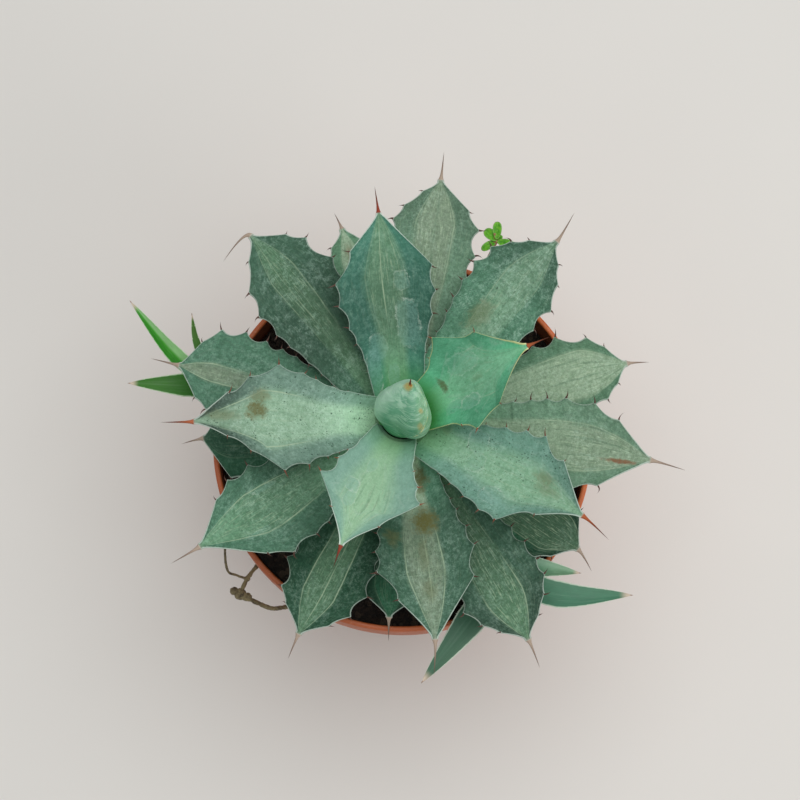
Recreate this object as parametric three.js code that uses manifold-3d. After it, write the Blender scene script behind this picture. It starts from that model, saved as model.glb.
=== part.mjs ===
import * as THREE from 'three';
import { mergeVertices } from 'three/addons/utils/BufferGeometryUtils.js';
import Module from 'manifold-3d';

// A potted dwarf agave: one rosette of broad toothed leaves round a wrapped bud, in a thin round pot.
// Millimetres, +Z up. The origin is the middle of the pot's underside.

const wasm = await Module();
wasm.setup();

// Pot
const rimRadius = 75;
const potHeight = 125;
const baseRadius = 54;
const wall = 2.2;
const collarHeight = 20;
const collarStep = 3;
const floorThickness = 3;
const drainHoleRadius = 4;
const drainHoleDistance = 36;
const drainHoles = 6;
const potSides = 48;

// Soil
const soilHeight = 111;
const soilLumps = 2.2;
const seat = 0.3; // the gap left between pieces that touch
const holeDepth = 9; // of the plain holes that the small stems stand in

// Stem and rosette
const axisY = 5.6; // the plant stands a little behind the middle of the pot
const stemTop = 151;
const stemTopRadius = 9;
const stemFootRadius = 12.8;
const stemFoot = 96;
const firstStep = 2.35; // from the youngest leaf down to the next
const stepLoss = 0.02;

// Leaf form
const clasp = 54; // half the angle that a leaf's foot takes of the stem, in degrees
const footGap = 0.65; // from the stem to a leaf's foot
const neckHalfWidth = 11.5;
const neckEnd = 0.13; // how far along the leaf its narrow neck ends
const baseThickness = 3.4;
const tipThickness = 1.8;
const marginThickness = 0.9;
const bow = 0.3; // how much steeper a leaf leaves the stem than it ends
const spineRadius = 1;
const spineBend = 0.2; // how far along an end spine its bend lies
const toothLength = 2;
const toothHalfBase = 0.75;
const leastArea = 0.3; // of a triangle between the margin and the line inside it
const toothSpacing = [4.4, 8.6, 5.2]; // near the stem, at the widest place and near the tip
const toothStart = 0.17; // how far along the leaf the first tooth stands
const marginWave = 1.1; // how far the margin rises and falls
const scallopDepth = 0.24; // of the distance between two teeth
const endHollow = [0.2, 1]; // how far the edge is hollow from the last tooth to the tip: slim and full tips
const toothedShare = [0.6, 0.8]; // of the stretch from the widest place to the tip: slim and full leaves

// The leaves from the youngest to the oldest. azimuth is anticlockwise from +X, in degrees, reach is the
// distance of the leaf tip from the plant's axis and tip its height. half holds the left and right half
// widths, widest is where they lie, and taper says how each side narrows from there to the tip: under 1
// hollow, over 1 full. fold is how far the margins rise near the tip, and spine is the end spine's length,
// azimuth and rise.
const leafSpec = (azimuth, reach, tip, half, widest, taper, fold, spine) => (
  { azimuth, reach, tip, half, widest, taper, fold, spine }
);
const leaves = [
  leafSpec(248, 59.5, 196, [22.5, 19.5], 0.66, [0.6, 0.55], 4.5, [9, 253, 10]),
  leafSpec(23, 50, 190, [26, 23], 0.62, [0.42, 0.42], 6, [9, 19, 15]),
  leafSpec(186, 77.5, 186, [21, 22], 0.64, [0.6, 0.85], 4, [12, 183, 12]),
  leafSpec(327.5, 78.5, 180, [20, 18.5], 0.66, [1.2, 0.7], 4, [13, 314, 0]),
  leafSpec(97, 75.5, 173, [21, 19.5], 0.66, [1.2, 1.6], 2, [10, 99, 20]),
  leafSpec(215, 92, 172, [22, 17], 0.7, [1.1, 1.3], 2.5, [12, 211, 5]),
  leafSpec(348, 95, 169, [19.5, 17.5], 0.68, [1.6, 1.6], 2, [13.5, 342, 0]),
  leafSpec(130.5, 90, 163, [18.5, 20], 0.76, [1.1, 1.6], 1.5, [18, 236, -8]),
  leafSpec(278, 87, 160, [21, 19], 0.65, [1.6, 1.1], 2, [13, 266, -5]),
  leafSpec(48.5, 90, 158, [20.5, 16.5], 0.76, [1.4, 1.3], 1.5, [13, 60, 20]),
  leafSpec(167, 88.5, 152, [15, 20], 0.82, [1.5, 1.5], 1, [11, 166, 0]),
  leafSpec(299, 98, 152, [19, 17], 0.78, [1.5, 1.4], 1.5, [11, 290, -5]),
  leafSpec(81, 96.5, 147, [17, 19], 0.8, [1.3, 1.4], 1.5, [11, 84, 25]),
  leafSpec(244.5, 92, 146, [18, 18], 0.78, [1.4, 1.3], 1, [10, 248, -5]),
  leafSpec(14.5, 90.5, 142, [18.5, 16], 0.78, [1.4, 1.6], 1, [8.5, 1, 0]),
  leafSpec(184.5, 78, 137, [18.5, 17], 0.8, [2.6, 1.4], 1, [8.5, 197, 0]),
  leafSpec(324, 84, 135, [15, 14], 0.82, [2.6, 1.4], 1, [10, 296, 0]),
  leafSpec(107, 82.5, 134, [12, 14], 0.8, [1.4, 1.4], 0.8, [7, 118, 10]),
  leafSpec(266, 75.5, 130, [14, 14], 0.8, [1.4, 1.4], 0.8, [9, 270, 0]),
];

const colours = {
  pot: 0xa8502f,
  soil: 0x2b231c,
  stem: 0x9aa57c,
  bud: 0x8fbf98,
  youngLeaf: 0x86b795,
  oldLeaf: 0x5f8577,
  leftOffset: 0x5fa55c,
  rightOffset: 0x5f9a84,
  weed: 0x5fae3f,
  stalk: 0x8f8068,
};

const plant = new THREE.Group();

// Small helpers

const radians = THREE.MathUtils.degToRad;
const lerp = THREE.MathUtils.lerp;

// A repeatable number between 0 and 1 for a place and a purpose.
function chance(a, b) {
  const wave = Math.sin(a * 12.9898 + b * 78.233) * 43758.5453;
  return wave - Math.floor(wave);
}

function finish(roughness, colour) {
  return new THREE.MeshStandardMaterial({ color: colour, roughness, metalness: 0 });
}

function addMesh(name, geometry, material) {
  const mesh = new THREE.Mesh(geometry, material);
  mesh.name = name;
  plant.add(mesh);
  return mesh;
}

function fromTriangles(points, faces) {
  const geometry = new THREE.BufferGeometry();
  geometry.setAttribute('position', new THREE.Float32BufferAttribute(points.flat(), 3));
  geometry.setIndex(faces.flat());
  geometry.computeVertexNormals();
  return geometry;
}

// Joining and cutting closed bodies

function toSolid(geometry) {
  const bare = geometry.clone();
  bare.deleteAttribute('normal');
  bare.deleteAttribute('uv');
  const merged = mergeVertices(bare, 1e-4);
  return new wasm.Manifold(new wasm.Mesh({
    numProp: 3,
    vertProperties: new Float32Array(merged.attributes.position.array),
    triVerts: new Uint32Array(merged.index.array),
  }));
}

function fromSolid(solid) {
  const mesh = solid.getMesh();
  const geometry = new THREE.BufferGeometry();
  geometry.setAttribute('position', new THREE.BufferAttribute(new Float32Array(mesh.vertProperties), 3));
  geometry.setIndex(new THREE.BufferAttribute(new Uint32Array(mesh.triVerts), 1));
  geometry.computeVertexNormals();
  return geometry;
}

function joinAll(geometries) {
  const solids = geometries.map(toSolid);
  return fromSolid(solids.reduce((sum, solid) => sum.add(solid)));
}

function cutAll(geometry, cutters) {
  return fromSolid(cutters.map(toSolid).reduce((sum, solid) => sum.subtract(solid), toSolid(geometry)));
}

function upright(radius, bottom, top, x, y, sides) {
  const cylinder = new THREE.CylinderGeometry(radius, radius, top - bottom, sides);
  cylinder.rotateX(Math.PI / 2);
  cylinder.translate(x, y, (top + bottom) / 2);
  return cylinder;
}

function turned(profile, sides) {
  const points = profile.map(([radius, height]) => new THREE.Vector2(radius, height));
  const lathe = new THREE.LatheGeometry(points, sides);
  lathe.rotateX(Math.PI / 2);
  return lathe;
}

function round(radius, sides) {
  const shape = new THREE.Shape();
  for (let i = 0; i < sides; i += 1) {
    const angle = (i / sides) * Math.PI * 2;
    const place = [radius * Math.cos(angle), radius * Math.sin(angle)];
    if (i === 0) shape.moveTo(...place);
    else shape.lineTo(...place);
  }
  shape.closePath();
  return shape;
}

function twig(points, radius, sides, steps) {
  const path = new THREE.CatmullRomCurve3(points.map((point) => new THREE.Vector3(...point)));
  return new THREE.ExtrudeGeometry(round(radius, sides), { steps, extrudePath: path });
}

// The pot: a thin tapered wall with a collar under the rim, and a floor with drain holes

const collarFoot = potHeight - collarHeight;
const neckRadius = rimRadius - collarStep;
const potInside = [
  [baseRadius - wall, floorThickness],
  [neckRadius - wall, collarFoot],
  [rimRadius - wall, collarFoot + collarStep],
  [rimRadius - wall, potHeight - 0.5],
];

function makePot() {
  const profile = [
    [0, 0],
    [baseRadius - 1, 0],
    [baseRadius, 1],
    [neckRadius, collarFoot],
    [rimRadius - 0.3, collarFoot],
    [rimRadius, potHeight - 0.7],
    [rimRadius - 0.6, potHeight],
    [rimRadius - wall + 0.5, potHeight],
    ...potInside.slice().reverse(),
    [0, floorThickness],
  ];
  const holes = [];
  for (let i = 0; i < drainHoles; i += 1) {
    const angle = (i / drainHoles) * Math.PI * 2;
    const x = drainHoleDistance * Math.cos(angle);
    const y = drainHoleDistance * Math.sin(angle);
    holes.push(upright(drainHoleRadius, -1, floorThickness + 1, x, y, 10));
  }
  return cutAll(turned(profile, potSides), holes);
}

// Where other stems come out of the soil: x, y and the radius of the plain hole round each
const stemHole = { x: 0, y: axisY, radius: stemFootRadius + seat };
const leftOffsetHole = { x: -60, y: 19.6, radius: 4.2 };
const rightOffsetHole = { x: 39, y: -48.4, radius: 4.2 };
const weedHole = { x: 28, y: 58.6, radius: 1.3 };
const stalkHole = { x: -62.5, y: -24.5, radius: 1.2 };

// The soil: fills the pot to just under the collar's middle, with a lumpy top
function makeSoil() {
  const sides = 36;
  const rings = [60, 48, 36, 24, 12];
  const edgeRadius = rimRadius - wall - seat - 0.4;
  const side = [
    [baseRadius - wall - seat - 0.1, floorThickness + seat],
    [neckRadius - wall - seat - 0.1, collarFoot + 0.2],
    [edgeRadius, collarFoot + collarStep + 0.4],
  ];
  const points = [];
  const faces = [];
  const ring = (radius, height, lumps) => {
    for (let i = 0; i < sides; i += 1) {
      const angle = (i / sides) * Math.PI * 2;
      const lift = lumps * (chance(i, radius) - 0.5);
      points.push([radius * Math.cos(angle), radius * Math.sin(angle), height + lift]);
    }
  };
  side.forEach(([radius, height]) => ring(radius, height, 0));
  ring(edgeRadius, soilHeight - 0.5, 0.8);
  rings.forEach((radius) => ring(radius, soilHeight, soilLumps));
  const levels = side.length + 1 + rings.length;
  for (let level = 0; level + 1 < levels; level += 1) {
    for (let i = 0; i < sides; i += 1) {
      const a = level * sides + i;
      const b = level * sides + ((i + 1) % sides);
      faces.push([a, b, b + sides], [a, b + sides, a + sides]);
    }
  }
  const bottom = points.push([0, 0, floorThickness + seat]) - 1;
  const top = points.push([0, 0, soilHeight]) - 1;
  const last = (levels - 1) * sides;
  for (let i = 0; i < sides; i += 1) {
    const next = (i + 1) % sides;
    faces.push([bottom, next, i], [top, last + i, last + next]);
  }
  const holes = [leftOffsetHole, rightOffsetHole, weedHole, stalkHole].map(({ x, y, radius }) => (
    upright(radius, soilHeight - holeDepth, soilHeight + 5, x, y, 12)
  ));
  holes.push(upright(stemHole.radius, stemFoot - seat, soilHeight + 5, stemHole.x, stemHole.y, 24));
  return cutAll(fromTriangles(points, faces), holes);
}

// The stem: a short cone that the leaves stand round and the bud stands on
function makeStem() {
  const stem = turned([
    [0, stemFoot],
    [stemFootRadius, stemFoot],
    [stemFootRadius, soilHeight + 3],
    [stemTopRadius, stemTop],
    [0, stemTop],
  ], 24);
  stem.translate(0, axisY, 0);
  return stem;
}

function stemRadiusAt(height) {
  const share = (height - soilHeight - 3) / (stemTop - soilHeight - 3);
  return lerp(stemFootRadius, stemTopRadius, THREE.MathUtils.clamp(share, 0, 1));
}

// A leaf is a slab over a plan that is split into triangles alike on its two faces. Places on it are given
// by along, from 0 at the stem to 1 at the tip, and across, in mm from the midline, with left positive.
class Leaf {
  constructor(index) {
    Object.assign(this, leaves[index]);
    this.index = index;
    this.root = stemTop - firstStep * index + stepLoss * index * index;
    this.start = stemRadiusAt(this.root - baseThickness) + footGap;
    this.length = this.reach - this.start;
    const full = THREE.MathUtils.smoothstep(this.widest, 0.66, 0.76);
    this.smoothFrom = lerp(this.widest, 1, lerp(...toothedShare, full));
    this.points = [];
    this.faces = [];
  }

  // The half width without its scallops
  halfWidth(along, side) {
    const full = this.half[side > 0 ? 0 : 1];
    const taper = this.taper[side > 0 ? 0 : 1];
    const foot = radians(clasp) * this.start;
    const neck = lerp(foot, Math.max(neckHalfWidth, foot), Math.min(along / neckEnd, 1));
    if (along < this.widest) {
      const share = THREE.MathUtils.smoothstep(along, neckEnd, this.widest);
      return lerp(neck, full, share);
    }
    const share = (along - this.widest) / (1 - this.widest);
    return Math.max(full * (1 - share ** taper), spineRadius);
  }

  place(along, across) {
    const radius = this.start + along * this.length;
    const angle = radians(this.azimuth) + across / radius;
    const width = this.halfWidth(along, across);
    const edge = Math.min(Math.abs(across) / width, 1.2);
    const fold = this.fold * THREE.MathUtils.smoothstep(along, 0.35, 0.85) * Math.min((1 - along) / 0.1, 1);
    const rise = (this.tip - this.root) * (along + bow * along * (1 - along));
    const z = this.root + rise + fold * edge ** 1.4;
    return [radius * Math.cos(angle), axisY + radius * Math.sin(angle), z];
  }

  thickness(along, across) {
    const edge = Math.min(Math.abs(across) / this.halfWidth(along, across), 1);
    const middle = lerp(baseThickness, tipThickness, along ** 0.8);
    return lerp(middle, marginThickness, edge ** 1.3);
  }

  // A place with a point on both faces, or one shared point where the faces meet in a tooth's tip
  pair(along, across, lift = 0) {
    const [x, y, z] = this.place(along, across);
    const top = this.points.push([x, y, z + lift]) - 1;
    const bottom = this.points.push([x, y, z + lift - this.thickness(along, across)]) - 1;
    return { along, top, bottom };
  }

  point(along, across, lift) {
    const [x, y, z] = this.place(along, across);
    const point = this.points.push([x, y, z + lift - marginThickness / 2]) - 1;
    return { along, top: point, bottom: point };
  }

  slab(a, b, c) {
    this.faces.push([a.top, b.top, c.top], [a.bottom, c.bottom, b.bottom]);
  }

  wall(a, b) {
    if (a.top !== a.bottom) this.faces.push([a.top, a.bottom, b.bottom]);
    if (b.top !== b.bottom) this.faces.push([a.top, b.bottom, b.top]);
  }

  // The crests between the scallops on one side, each with a tooth
  crests(side) {
    const crests = [];
    const { smoothstep } = THREE.MathUtils;
    let along = toothStart + 0.03 * chance(this.index, side);
    let gap = toothSpacing[0];
    for (let count = 0; along < this.smoothFrom - 0.02; count += 1) {
      const pick = (seed) => chance(this.index + seed, count * side);
      const size = lerp(0.25, 1, smoothstep(along, 0.15, 0.55)) * lerp(1, 0.6, smoothstep(along, 0.78, 0.95));
      crests.push({
        along,
        size,
        length: toothLength * size * (0.75 + 0.5 * pick(0.3)),
        lean: ((pick(0.7) - 0.35) * 1.6) / this.length,
        wave: marginWave * size * (chance(this.index, count * side + 0.5) - 0.3),
        dip: scallopDepth * gap * size * (0.6 + 0.8 * pick(0.9)),
      });
      const widening = lerp(toothSpacing[0], toothSpacing[1], smoothstep(along, 0.1, 0.6));
      const spacing = lerp(widening, toothSpacing[2], smoothstep(along, 0.7, 0.88));
      gap = spacing * (0.75 + 0.5 * pick(0.1));
      along += gap / this.length;
    }
    return crests;
  }

  // How wide the edge is between two crests: under both the leaf's outline and the chord, and dipping
  hollow(side, from, to, share, dip) {
    const along = lerp(from, to, share);
    const chord = lerp(this.halfWidth(from, side), this.halfWidth(to, side), share);
    const width = Math.min(chord, this.halfWidth(along, side)) - dip * 4 * share * (1 - share);
    return [along, Math.max(width, spineRadius)];
  }

  // The margin on one side: scallops with a tooth on each crest, then the smooth edge up to the tip
  margin(side) {
    const half = toothHalfBase / this.length;
    const edge = [this.pair(0, side * this.halfWidth(0, side))];
    let last = { along: 0.05, wave: 0 };
    this.crests(side).forEach((crest) => {
      const { along, size, length, lean, wave, dip } = crest;
      const width = this.halfWidth(along, side);
      [0.3, 0.7].forEach((share) => {
        const [place, reach] = this.hollow(side, last.along, along, share, dip);
        edge.push(this.pair(place, side * reach, -0.35 * size));
      });
      const foot = this.pair(along - half, side * width, wave);
      const point = this.point(along + lean, side * (width + length), wave + 0.4);
      const back = this.pair(along + half, side * width, wave);
      edge.push(foot, point, back);
      if (side > 0) this.slab(foot, back, point);
      else this.slab(back, foot, point);
      last = crest;
    });
    const slim = THREE.MathUtils.smoothstep(this.taper[side > 0 ? 0 : 1], 0.8, 1.2);
    [0.3, 0.6, 0.85].forEach((share) => {
      const [place, reach] = this.hollow(side, last.along, 1, share, lerp(...endHollow, slim));
      edge.push(this.pair(place, side * reach));
    });
    return edge;
  }

  // The area of a triangle seen from above, below 0 where it would be turned over
  area(...places) {
    const [a, b, c] = places.map((place) => this.points[place.top]);
    return ((b[0] - a[0]) * (c[1] - a[1]) - (b[1] - a[1]) * (c[0] - a[0])) / 2;
  }

  distance(a, b) {
    const [from, to] = [a, b].map((place) => this.points[place.top]);
    return Math.hypot(from[0] - to[0], from[1] - to[1]);
  }

  innerFirst(inner, nextInner, outer, nextOuter) {
    if (!nextInner || !nextOuter) return Boolean(nextInner);
    if (this.area(outer, inner, nextOuter) < leastArea) return true;
    if (this.area(outer, inner, nextInner) < leastArea) return false;
    return this.distance(outer, nextInner) < this.distance(inner, nextOuter);
  }

  // Joins two lines of places that run from the stem to the tip, outer on the left of inner. The teeth
  // have triangles of their own, so their points are left out.
  zip(innerLine, outerLine) {
    const inner = innerLine.filter((place) => place.top !== place.bottom);
    const outer = outerLine.filter((place) => place.top !== place.bottom);
    let i = 0;
    let j = 0;
    while (i + 1 < inner.length || j + 1 < outer.length) {
      if (this.innerFirst(inner[i], inner[i + 1], outer[j], outer[j + 1])) {
        this.slab(outer[j], inner[i], inner[i + 1]);
        i += 1;
      } else {
        this.slab(outer[j], inner[i], outer[j + 1]);
        j += 1;
      }
    }
  }

  // The end spine: six-sided, from the leaf's narrow end to a point, bending towards its own direction
  spineOn(left, middle, right) {
    const [length, azimuth, rise] = this.spine;
    const [x, y, z] = this.place(1, 0);
    const from = new THREE.Vector3(x, y, z - tipThickness / 2);
    const slope = Math.atan2((this.tip - this.root) * (1 - bow), this.length);
    const leafAngle = radians(this.azimuth);
    const heading = (angle, tilt) => new THREE.Vector3(
      Math.cos(angle) * Math.cos(tilt),
      Math.sin(angle) * Math.cos(tilt),
      Math.sin(tilt),
    );
    const bend = from.clone().addScaledVector(heading(leafAngle, slope), length * spineBend);
    const rest = length * (1.05 - spineBend);
    const end = bend.clone().addScaledVector(heading(radians(azimuth), radians(rise)), rest);
    const curve = new THREE.QuadraticBezierCurve3(from, bend, end);
    const order = [left.top, middle.top, right.top, right.bottom, middle.bottom, left.bottom];
    let ring = order;
    [0.4, 0.72].forEach((share) => {
      const centre = curve.getPoint(share);
      const along = curve.getTangent(share);
      const sideways = new THREE.Vector3(-along.y, along.x, 0).normalize();
      const up = along.clone().cross(sideways);
      const radius = spineRadius * (1 - share) * 1.15;
      const next = [];
      for (let i = 0; i < 6; i += 1) {
        const angle = Math.PI * (1 / 6 + i / 3);
        const point = centre.clone();
        point.addScaledVector(sideways, radius * Math.cos(angle));
        point.addScaledVector(up, radius * Math.sin(angle));
        next.push(this.points.push(point.toArray()) - 1);
      }
      this.loft(ring, next);
      ring = next;
    });
    const apex = this.points.push(curve.getPoint(1).toArray()) - 1;
    for (let i = 0; i < 6; i += 1) this.faces.push([ring[i], ring[(i + 1) % 6], apex]);
  }

  loft(ring, next) {
    for (let i = 0; i < 6; i += 1) {
      const j = (i + 1) % 6;
      this.faces.push([ring[i], ring[j], next[j]], [ring[i], next[j], next[i]]);
    }
  }

  build() {
    const rows = [0, 0.07, 0.16, 0.27, 0.39, 0.51, 0.62, 0.72, 0.81, 0.89, 0.95];
    const line = (share, side) => rows.map((along) => (
      this.pair(along, share * side * this.halfWidth(along, side))
    ));
    const middle = line(0, 1);
    const leftLine = line(0.52, 1);
    const rightLine = line(0.52, -1);
    const leftEdge = this.margin(1);
    const rightEdge = this.margin(-1);
    const end = this.pair(1, 0);
    const leftEnd = this.pair(1, spineRadius);
    const rightEnd = this.pair(1, -spineRadius);
    this.zip([...middle, end], leftLine);
    this.zip(rightLine, [...middle, end]);
    this.zip([...leftLine, end], [...leftEdge, leftEnd]);
    this.zip([...rightEdge, rightEnd], [...rightLine, end]);
    const boundary = [...leftEdge, leftEnd].reverse();
    boundary.push(leftLine[0], middle[0], rightLine[0], ...rightEdge, rightEnd);
    for (let i = 0; i + 1 < boundary.length; i += 1) this.wall(boundary[i], boundary[i + 1]);
    this.spineOn(leftEnd, end, rightEnd);
    return fromTriangles(this.points, this.faces);
  }
}

// The bud: young leaves wrapped in a plump cone with a soft three-sided section, and one small spine
function makeBud() {
  const sides = 15;
  const foot = stemTop + seat;
  const height = 38;
  const lean = [3.4, 4.7];
  const leanCurve = 1.38;
  const wrapStep = 0.8;
  const corner = radians(66); // where one of the three corners points
  const broad = radians(145); // the way in which the bud is a little broader
  const profile = [
    [0, 8.4],
    [0.06, 8.9],
    [0.2, 9.8],
    [0.38, 9.7],
    [0.55, 8.3],
    [0.7, 6.3],
    [0.82, 4.2],
    [0.91, 2.4],
    [0.96, 1.1],
  ];
  const points = [];
  const faces = [];
  profile.forEach(([share, radius]) => {
    const shaped = THREE.MathUtils.smoothstep(share, 0.03, 0.2); // the foot is round
    for (let i = 0; i < sides; i += 1) {
      const angle = (i / sides) * Math.PI * 2;
      const wrap = ((i / sides + share * 0.35) % 1) * wrapStep * Math.min(share * 4, 1);
      const swell = 0.126 * Math.cos(3 * (angle - corner)) + 0.13 * Math.cos(2 * (angle - broad));
      const reach = radius * (1 + shaped * swell) + (wrap - wrapStep / 2) * (1 - share);
      points.push([
        reach * Math.cos(angle) + lean[0] * share ** leanCurve,
        axisY + reach * Math.sin(angle) + lean[1] * share ** leanCurve,
        foot + share * height,
      ]);
    }
  });
  for (let row = 0; row + 1 < profile.length; row += 1) {
    for (let i = 0; i < sides; i += 1) {
      const a = row * sides + i;
      const b = row * sides + ((i + 1) % sides);
      faces.push([a, b, b + sides], [a, b + sides, a + sides]);
    }
  }
  const bottom = points.push([0, axisY, foot]) - 1;
  const apex = points.push([lean[0] * 1.05, axisY + lean[1] + 1.5, foot + height + 3.5]) - 1;
  const last = (profile.length - 1) * sides;
  for (let i = 0; i < sides; i += 1) {
    const next = (i + 1) % sides;
    faces.push([bottom, next, i], [apex, last + i, last + next]);
  }
  return fromTriangles(points, faces);
}

// A narrow saw-edged offset leaf: a channelled strap along a curve, its edge stepping out at each tooth
function offsetLeaf(path, halfWidth, toothCount) {
  const curve = new THREE.CatmullRomCurve3(path.map((point) => new THREE.Vector3(...point)));
  const points = [];
  const faces = [];
  const rows = toothCount * 2;
  for (let row = 0; row < rows; row += 1) {
    const share = row / rows;
    const centre = curve.getPointAt(share);
    const along = curve.getTangentAt(share);
    const sideways = new THREE.Vector3(-along.y, along.x, 0).normalize();
    const up = along.clone().cross(sideways);
    const swell = Math.min(0.55 + share * 1.6, 1) * Math.min(1, (1 - share) * 1.9) ** 0.75;
    const saw = row % 2 === 1 ? 0.55 : 0;
    const width = halfWidth * swell + saw;
    const depth = lerp(1.6, 0.6, share);
    const put = (across, lift) => {
      points.push(centre.clone().addScaledVector(sideways, across).addScaledVector(up, lift).toArray());
    };
    put(width, 0.9);
    put(0, 0);
    put(-width, 0.9);
    put(0, -depth);
  }
  for (let row = 0; row + 1 < rows; row += 1) {
    for (let i = 0; i < 4; i += 1) {
      const a = row * 4 + i;
      const b = row * 4 + ((i + 1) % 4);
      faces.push([a, b, b + 4], [a, b + 4, a + 4]);
    }
  }
  const apex = points.push(curve.getPointAt(1).toArray()) - 1;
  const last = (rows - 1) * 4;
  for (let i = 0; i < 4; i += 1) faces.push([last + i, last + ((i + 1) % 4), apex]);
  faces.push([1, 0, 3], [1, 3, 2]);
  return fromTriangles(points, faces);
}

// The left offset: a short shoot that leans out over the rim and fans into three bright leaves
function makeLeftOffset() {
  const foot = [leftOffsetHole.x, leftOffsetHole.y, soilHeight - holeDepth + 1];
  const crown = [-74, 21.6, 134];
  return joinAll([
    twig([foot, [-60.5, 20.1, 117], [-65, 21.1, 128], crown], 2.4, 7, 9),
    offsetLeaf([[-69, 21.1, 131], [-80, 25.5, 133], [-91, 34.2, 137], [-105.7, 51, 150]], 3.2, 9),
    offsetLeaf([[-71, 22.5, 131.5], [-77.5, 29.8, 133.5], [-81.2, 38.5, 138], [-82.3, 47.1, 145]], 1.8, 5),
    offsetLeaf([[-68, 21.1, 131], [-87, 21.1, 134], [-107, 21.1, 138]], 4.6, 9),
  ]);
}

// The lower right offset: three blue-green leaves from a shoot inside the rim
function makeRightOffset() {
  const foot = [rightOffsetHole.x, rightOffsetHole.y, soilHeight - holeDepth + 1];
  return joinAll([
    twig([foot, [39, -48.4, 117], [40.5, -50.4, 125], [42, -52.4, 130]], 3, 7, 8),
    offsetLeaf([[39, -51.9, 126.5], [60, -60.9, 130.5], [88.5, -61.6, 134]], 5.2, 11),
    offsetLeaf([[39, -47.9, 125.5], [54.7, -50.6, 129.2], [68.8, -52.7, 131]], 3.8, 6),
    offsetLeaf([[40.5, -50.4, 126.5], [26, -71.4, 131], [7.5, -94.9, 132]], 5.8, 11),
  ]);
}

// A flat oval leaflet on the weed, turned to an azimuth and tilted outward
function leaflet(x, y, z, azimuth, length, halfWidth) {
  const sides = 10;
  const points = [];
  const faces = [];
  const turn = radians(azimuth);
  for (let i = 0; i < sides; i += 1) {
    const angle = (i / sides) * Math.PI * 2;
    const out = (length / 2) * (1 + Math.cos(angle));
    const across = halfWidth * Math.sin(angle) * (0.8 + 0.2 * Math.cos(angle + Math.PI));
    points.push([
      x + out * Math.cos(turn) - across * Math.sin(turn),
      y + out * Math.sin(turn) + across * Math.cos(turn),
      z + 0.5 * Math.abs(across),
    ]);
  }
  const centreX = x + (length / 2) * Math.cos(turn);
  const centreY = y + (length / 2) * Math.sin(turn);
  const top = points.push([centreX, centreY, z + 0.5]) - 1;
  const bottom = points.push([centreX, centreY, z - 0.6]) - 1;
  for (let i = 0; i < sides; i += 1) {
    const next = (i + 1) % sides;
    faces.push([top, i, next], [bottom, next, i]);
  }
  return fromTriangles(points, faces);
}

// The weed: a thin stem from the soil over the rim, with small oval leaflets in the gap between two leaves
function makeWeed() {
  const foot = [weedHole.x, weedHole.y, soilHeight - holeDepth + 1];
  const head = [37.5, 79, 137];
  const pieces = [
    twig([foot, [28.2, 59.1, 117], [30, 64.1, 127.5], [33, 70.6, 132], head], 0.75, 6, 14),
    twig([[35.4, 75.4, 135], [36.6, 79, 136.8], [36.4, 81.6, 138.2]], 0.6, 5, 4),
  ];
  const leaflets = [
    [37.4, 79, 137.6, 88, 7.4, 2.1],
    [37.6, 78.8, 137.2, 140, 6.6, 2.5],
    [37, 78.8, 136.6, 214, 6.8, 1.9],
    [37.4, 78.6, 136.8, 340, 7.6, 2.2],
    [37.8, 78.8, 136.4, 30, 5, 1.9],
  ];
  leaflets.forEach((spec) => pieces.push(leaflet(...spec)));
  return joinAll(pieces);
}

// The dry stalk: dead and knobbly. A thin twig comes out of the soil and over the rim, and carries a
// thicker piece that starts under the pot's collar and bends round outside it.
function makeStalk() {
  const foot = [stalkHole.x, stalkHole.y, soilHeight - holeDepth + 1];
  const fork = [-62.2, -52.2, 104.5];
  const elbow = [-64.9, -58.2, 103.5];
  const knob = (x, y, z, radius) => {
    const ball = new THREE.IcosahedronGeometry(radius, 1);
    ball.scale(1.2, 1, 0.85);
    ball.translate(x, y, z);
    return ball;
  };
  const overRim = [foot, [-62.8, -24.9, 118], [-65.2, -28.6, 126.8], [-68.6, -32.2, 127.6]];
  return joinAll([
    twig([...overRim, [-69.9, -42.9, 121], [-69.5, -49.6, 111], [-66.4, -51, 107.5], fork], 0.6, 6, 24),
    twig([[-57.8, -46.1, 103.4], fork, elbow], 0.9, 6, 8),
    twig([elbow, [-60.2, -60.6, 103], [-52.5, -63.7, 102], [-45.7, -63, 101]], 0.95, 6, 8),
    knob(...elbow, 2.3),
    knob(-62.2, -59.3, 103, 1.7),
    knob(-67.2, -57, 104, 1.6),
    knob(...fork, 1.2),
  ]);
}

// The whole plant

addMesh('pot', makePot(), finish(0.6, colours.pot));
addMesh('soil', makeSoil(), finish(1, colours.soil));
addMesh('stem', makeStem(), finish(0.7, colours.stem));
addMesh('bud', makeBud(), finish(0.6, colours.bud));
leaves.forEach((leaf, index) => {
  const age = index / (leaves.length - 1);
  const colour = new THREE.Color(colours.youngLeaf).lerp(new THREE.Color(colours.oldLeaf), age);
  const name = `leaf_${String(index + 1).padStart(2, '0')}`;
  addMesh(name, new Leaf(index).build(), finish(0.65, colour));
});
addMesh('left_offset', makeLeftOffset(), finish(0.55, colours.leftOffset));
addMesh('right_offset', makeRightOffset(), finish(0.55, colours.rightOffset));
addMesh('weed_sprig', makeWeed(), finish(0.5, colours.weed));
addMesh('dry_stalk', makeStalk(), finish(0.9, colours.stalk));

export default plant;
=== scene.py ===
import math
from collections import namedtuple

import bmesh
import bpy
import numpy as np
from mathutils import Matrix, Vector, noise


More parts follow.
